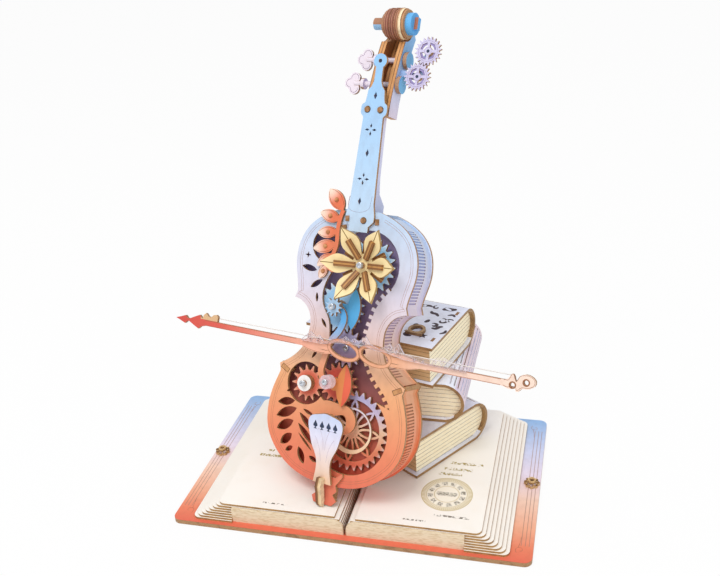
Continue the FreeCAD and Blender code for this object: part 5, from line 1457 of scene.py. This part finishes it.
# Scroll: stacked discs turned to a barrel, its axle, cap and square end
barrelLook = {"radii": (6.4, 8.1, 9.1, 9.4, 9.0, 9.5, 9.1, 9.5, 9.2, 8.5), "depth": 10.5, "hubRadius": 3.6,
              "hubLeft": -13.2, "capRadius": 6.6, "capRight": 13.6, "blockRight": 16.1, "sides": 40}


def barrelPart(name, radius, left, right, sides):
    part = begin(name, bpy.ops.mesh.primitive_cylinder_add, vertices=sides, radius=radius, depth=right - left,
                 location=((left + right) / 2, drumLook["centre"], -barrelLook["depth"]),
                 rotation=(0, math.radians(90), 0))
    return settle(part, celloFrame)


def scrollBarrel():
    look = barrelLook
    parts = [barrelPart("scrollHub", look["hubRadius"], look["hubLeft"], drumLook["left"] + 0.2, look["sides"])]
    for number, radius in enumerate(look["radii"]):
        left = drumLook["left"] + number * drumLook["disc"]
        parts.append(barrelPart("scrollDisc" + str(number), radius, left, left + drumLook["disc"], look["sides"]))
    parts.append(barrelPart("scrollCap", look["capRadius"], drumLook["right"], look["capRight"], look["sides"]))
    parts.append(makeBox("scrollBlock", ((look["capRight"] + look["blockRight"]) / 2, drumLook["centre"],
                                         -look["depth"]),
                         (look["blockRight"] - look["capRight"], 2 * look["hubRadius"], look["hubRadius"])))
    fit(joined(parts, "scroll_barrel"), nodes["scroll_drum"].material_slots[0].material, "stand", "brown_wood",
        "scroll_drum")


scrollBarrel()


# Engraved rings on the peg heads
pegLook = {"pegs": (("peg_lower", 246.2, 9.0, -18.0), ("peg_upper", 262.1, 14.8, -14.6)), "spread": 3.2,
           "thick": 2.0, "line": 2.5}


def pegLines():
    look = pegLook
    for body, level, depth, head in look["pegs"]:
        centres = [(polar((head - look["spread"], level), look["spread"], angle), angle) for angle in (90, 180, 270)]
        rings = [[polar(centre, look["line"], angle + turn) for turn in range(-100, 101, 20)]
                 for centre, angle in centres]
        engraved(body + "_lines", rings, 0.42, look["thick"] / 2 - depth, pegInk, body)


pegLines()
print("engraving and inlays made")


# Floor, backdrop and light
studio = {"sky": 0.66, "floorGlow": 0.92, "aim": (0, 0, 0.12),
          "lamps": (("keyLight", (-0.35, -0.6, 1.5), 0.7, 10.8), ("fillLight", (0.95, -0.75, 0.7), 0.9, 2.8))}


def makeStudio():
    world = bpy.data.worlds.new("studio")
    scene.world = world
    world.use_nodes = True
    graph = Graph(world.node_tree)
    background = graph.tree.nodes["Background"]
    background.inputs["Color"].default_value = (1, 1, 1, 1)
    strength = graph.node("MapRange", {}, {0: graph.seenRays(), 3: studio["sky"], 4: 1.0})
    graph.link(strength, background.inputs["Strength"])

    nothingSelected()
    bpy.ops.mesh.primitive_plane_add(size=12, location=(0, 0, -0.0004))
    floor = bpy.context.object
    floor.name = "paleFloor"
    paint = Paint("paleFloorPaper", 0.9)
    paint.shader.inputs["Base Color"].default_value = (0.9, 0.9, 0.9, 1)
    glow = paint.node("Emission", {}, {"Color": (1, 1, 1, 1), "Strength": 1.0})
    mixed = paint.node("MixShader", {}, {0: paint.seenRays() * studio["floorGlow"], 2: glow})
    paint.tree.links.new(paint.shader.outputs[0], mixed.socket.node.inputs[1])
    paint.link(mixed, paint.tree.nodes["Material Output"].inputs["Surface"])
    floor.data.materials.append(paint.material)
    floor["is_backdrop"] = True

    for name, place, size, energy in studio["lamps"]:
        data = bpy.data.lights.new(name, "AREA")
        data.size = size
        data.energy = energy
        lamp = bpy.data.objects.new(name, data)
        scene.collection.objects.link(lamp)
        lamp.location = place
        lamp.rotation_mode = "QUATERNION"
        lamp.rotation_quaternion = (Vector(studio["aim"]) - Vector(place)).to_track_quat("-Z", "Y")


makeStudio()
scene.view_settings.view_transform = "Standard"
print("studio lit")

bpy.context.view_layer.update()
low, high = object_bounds()
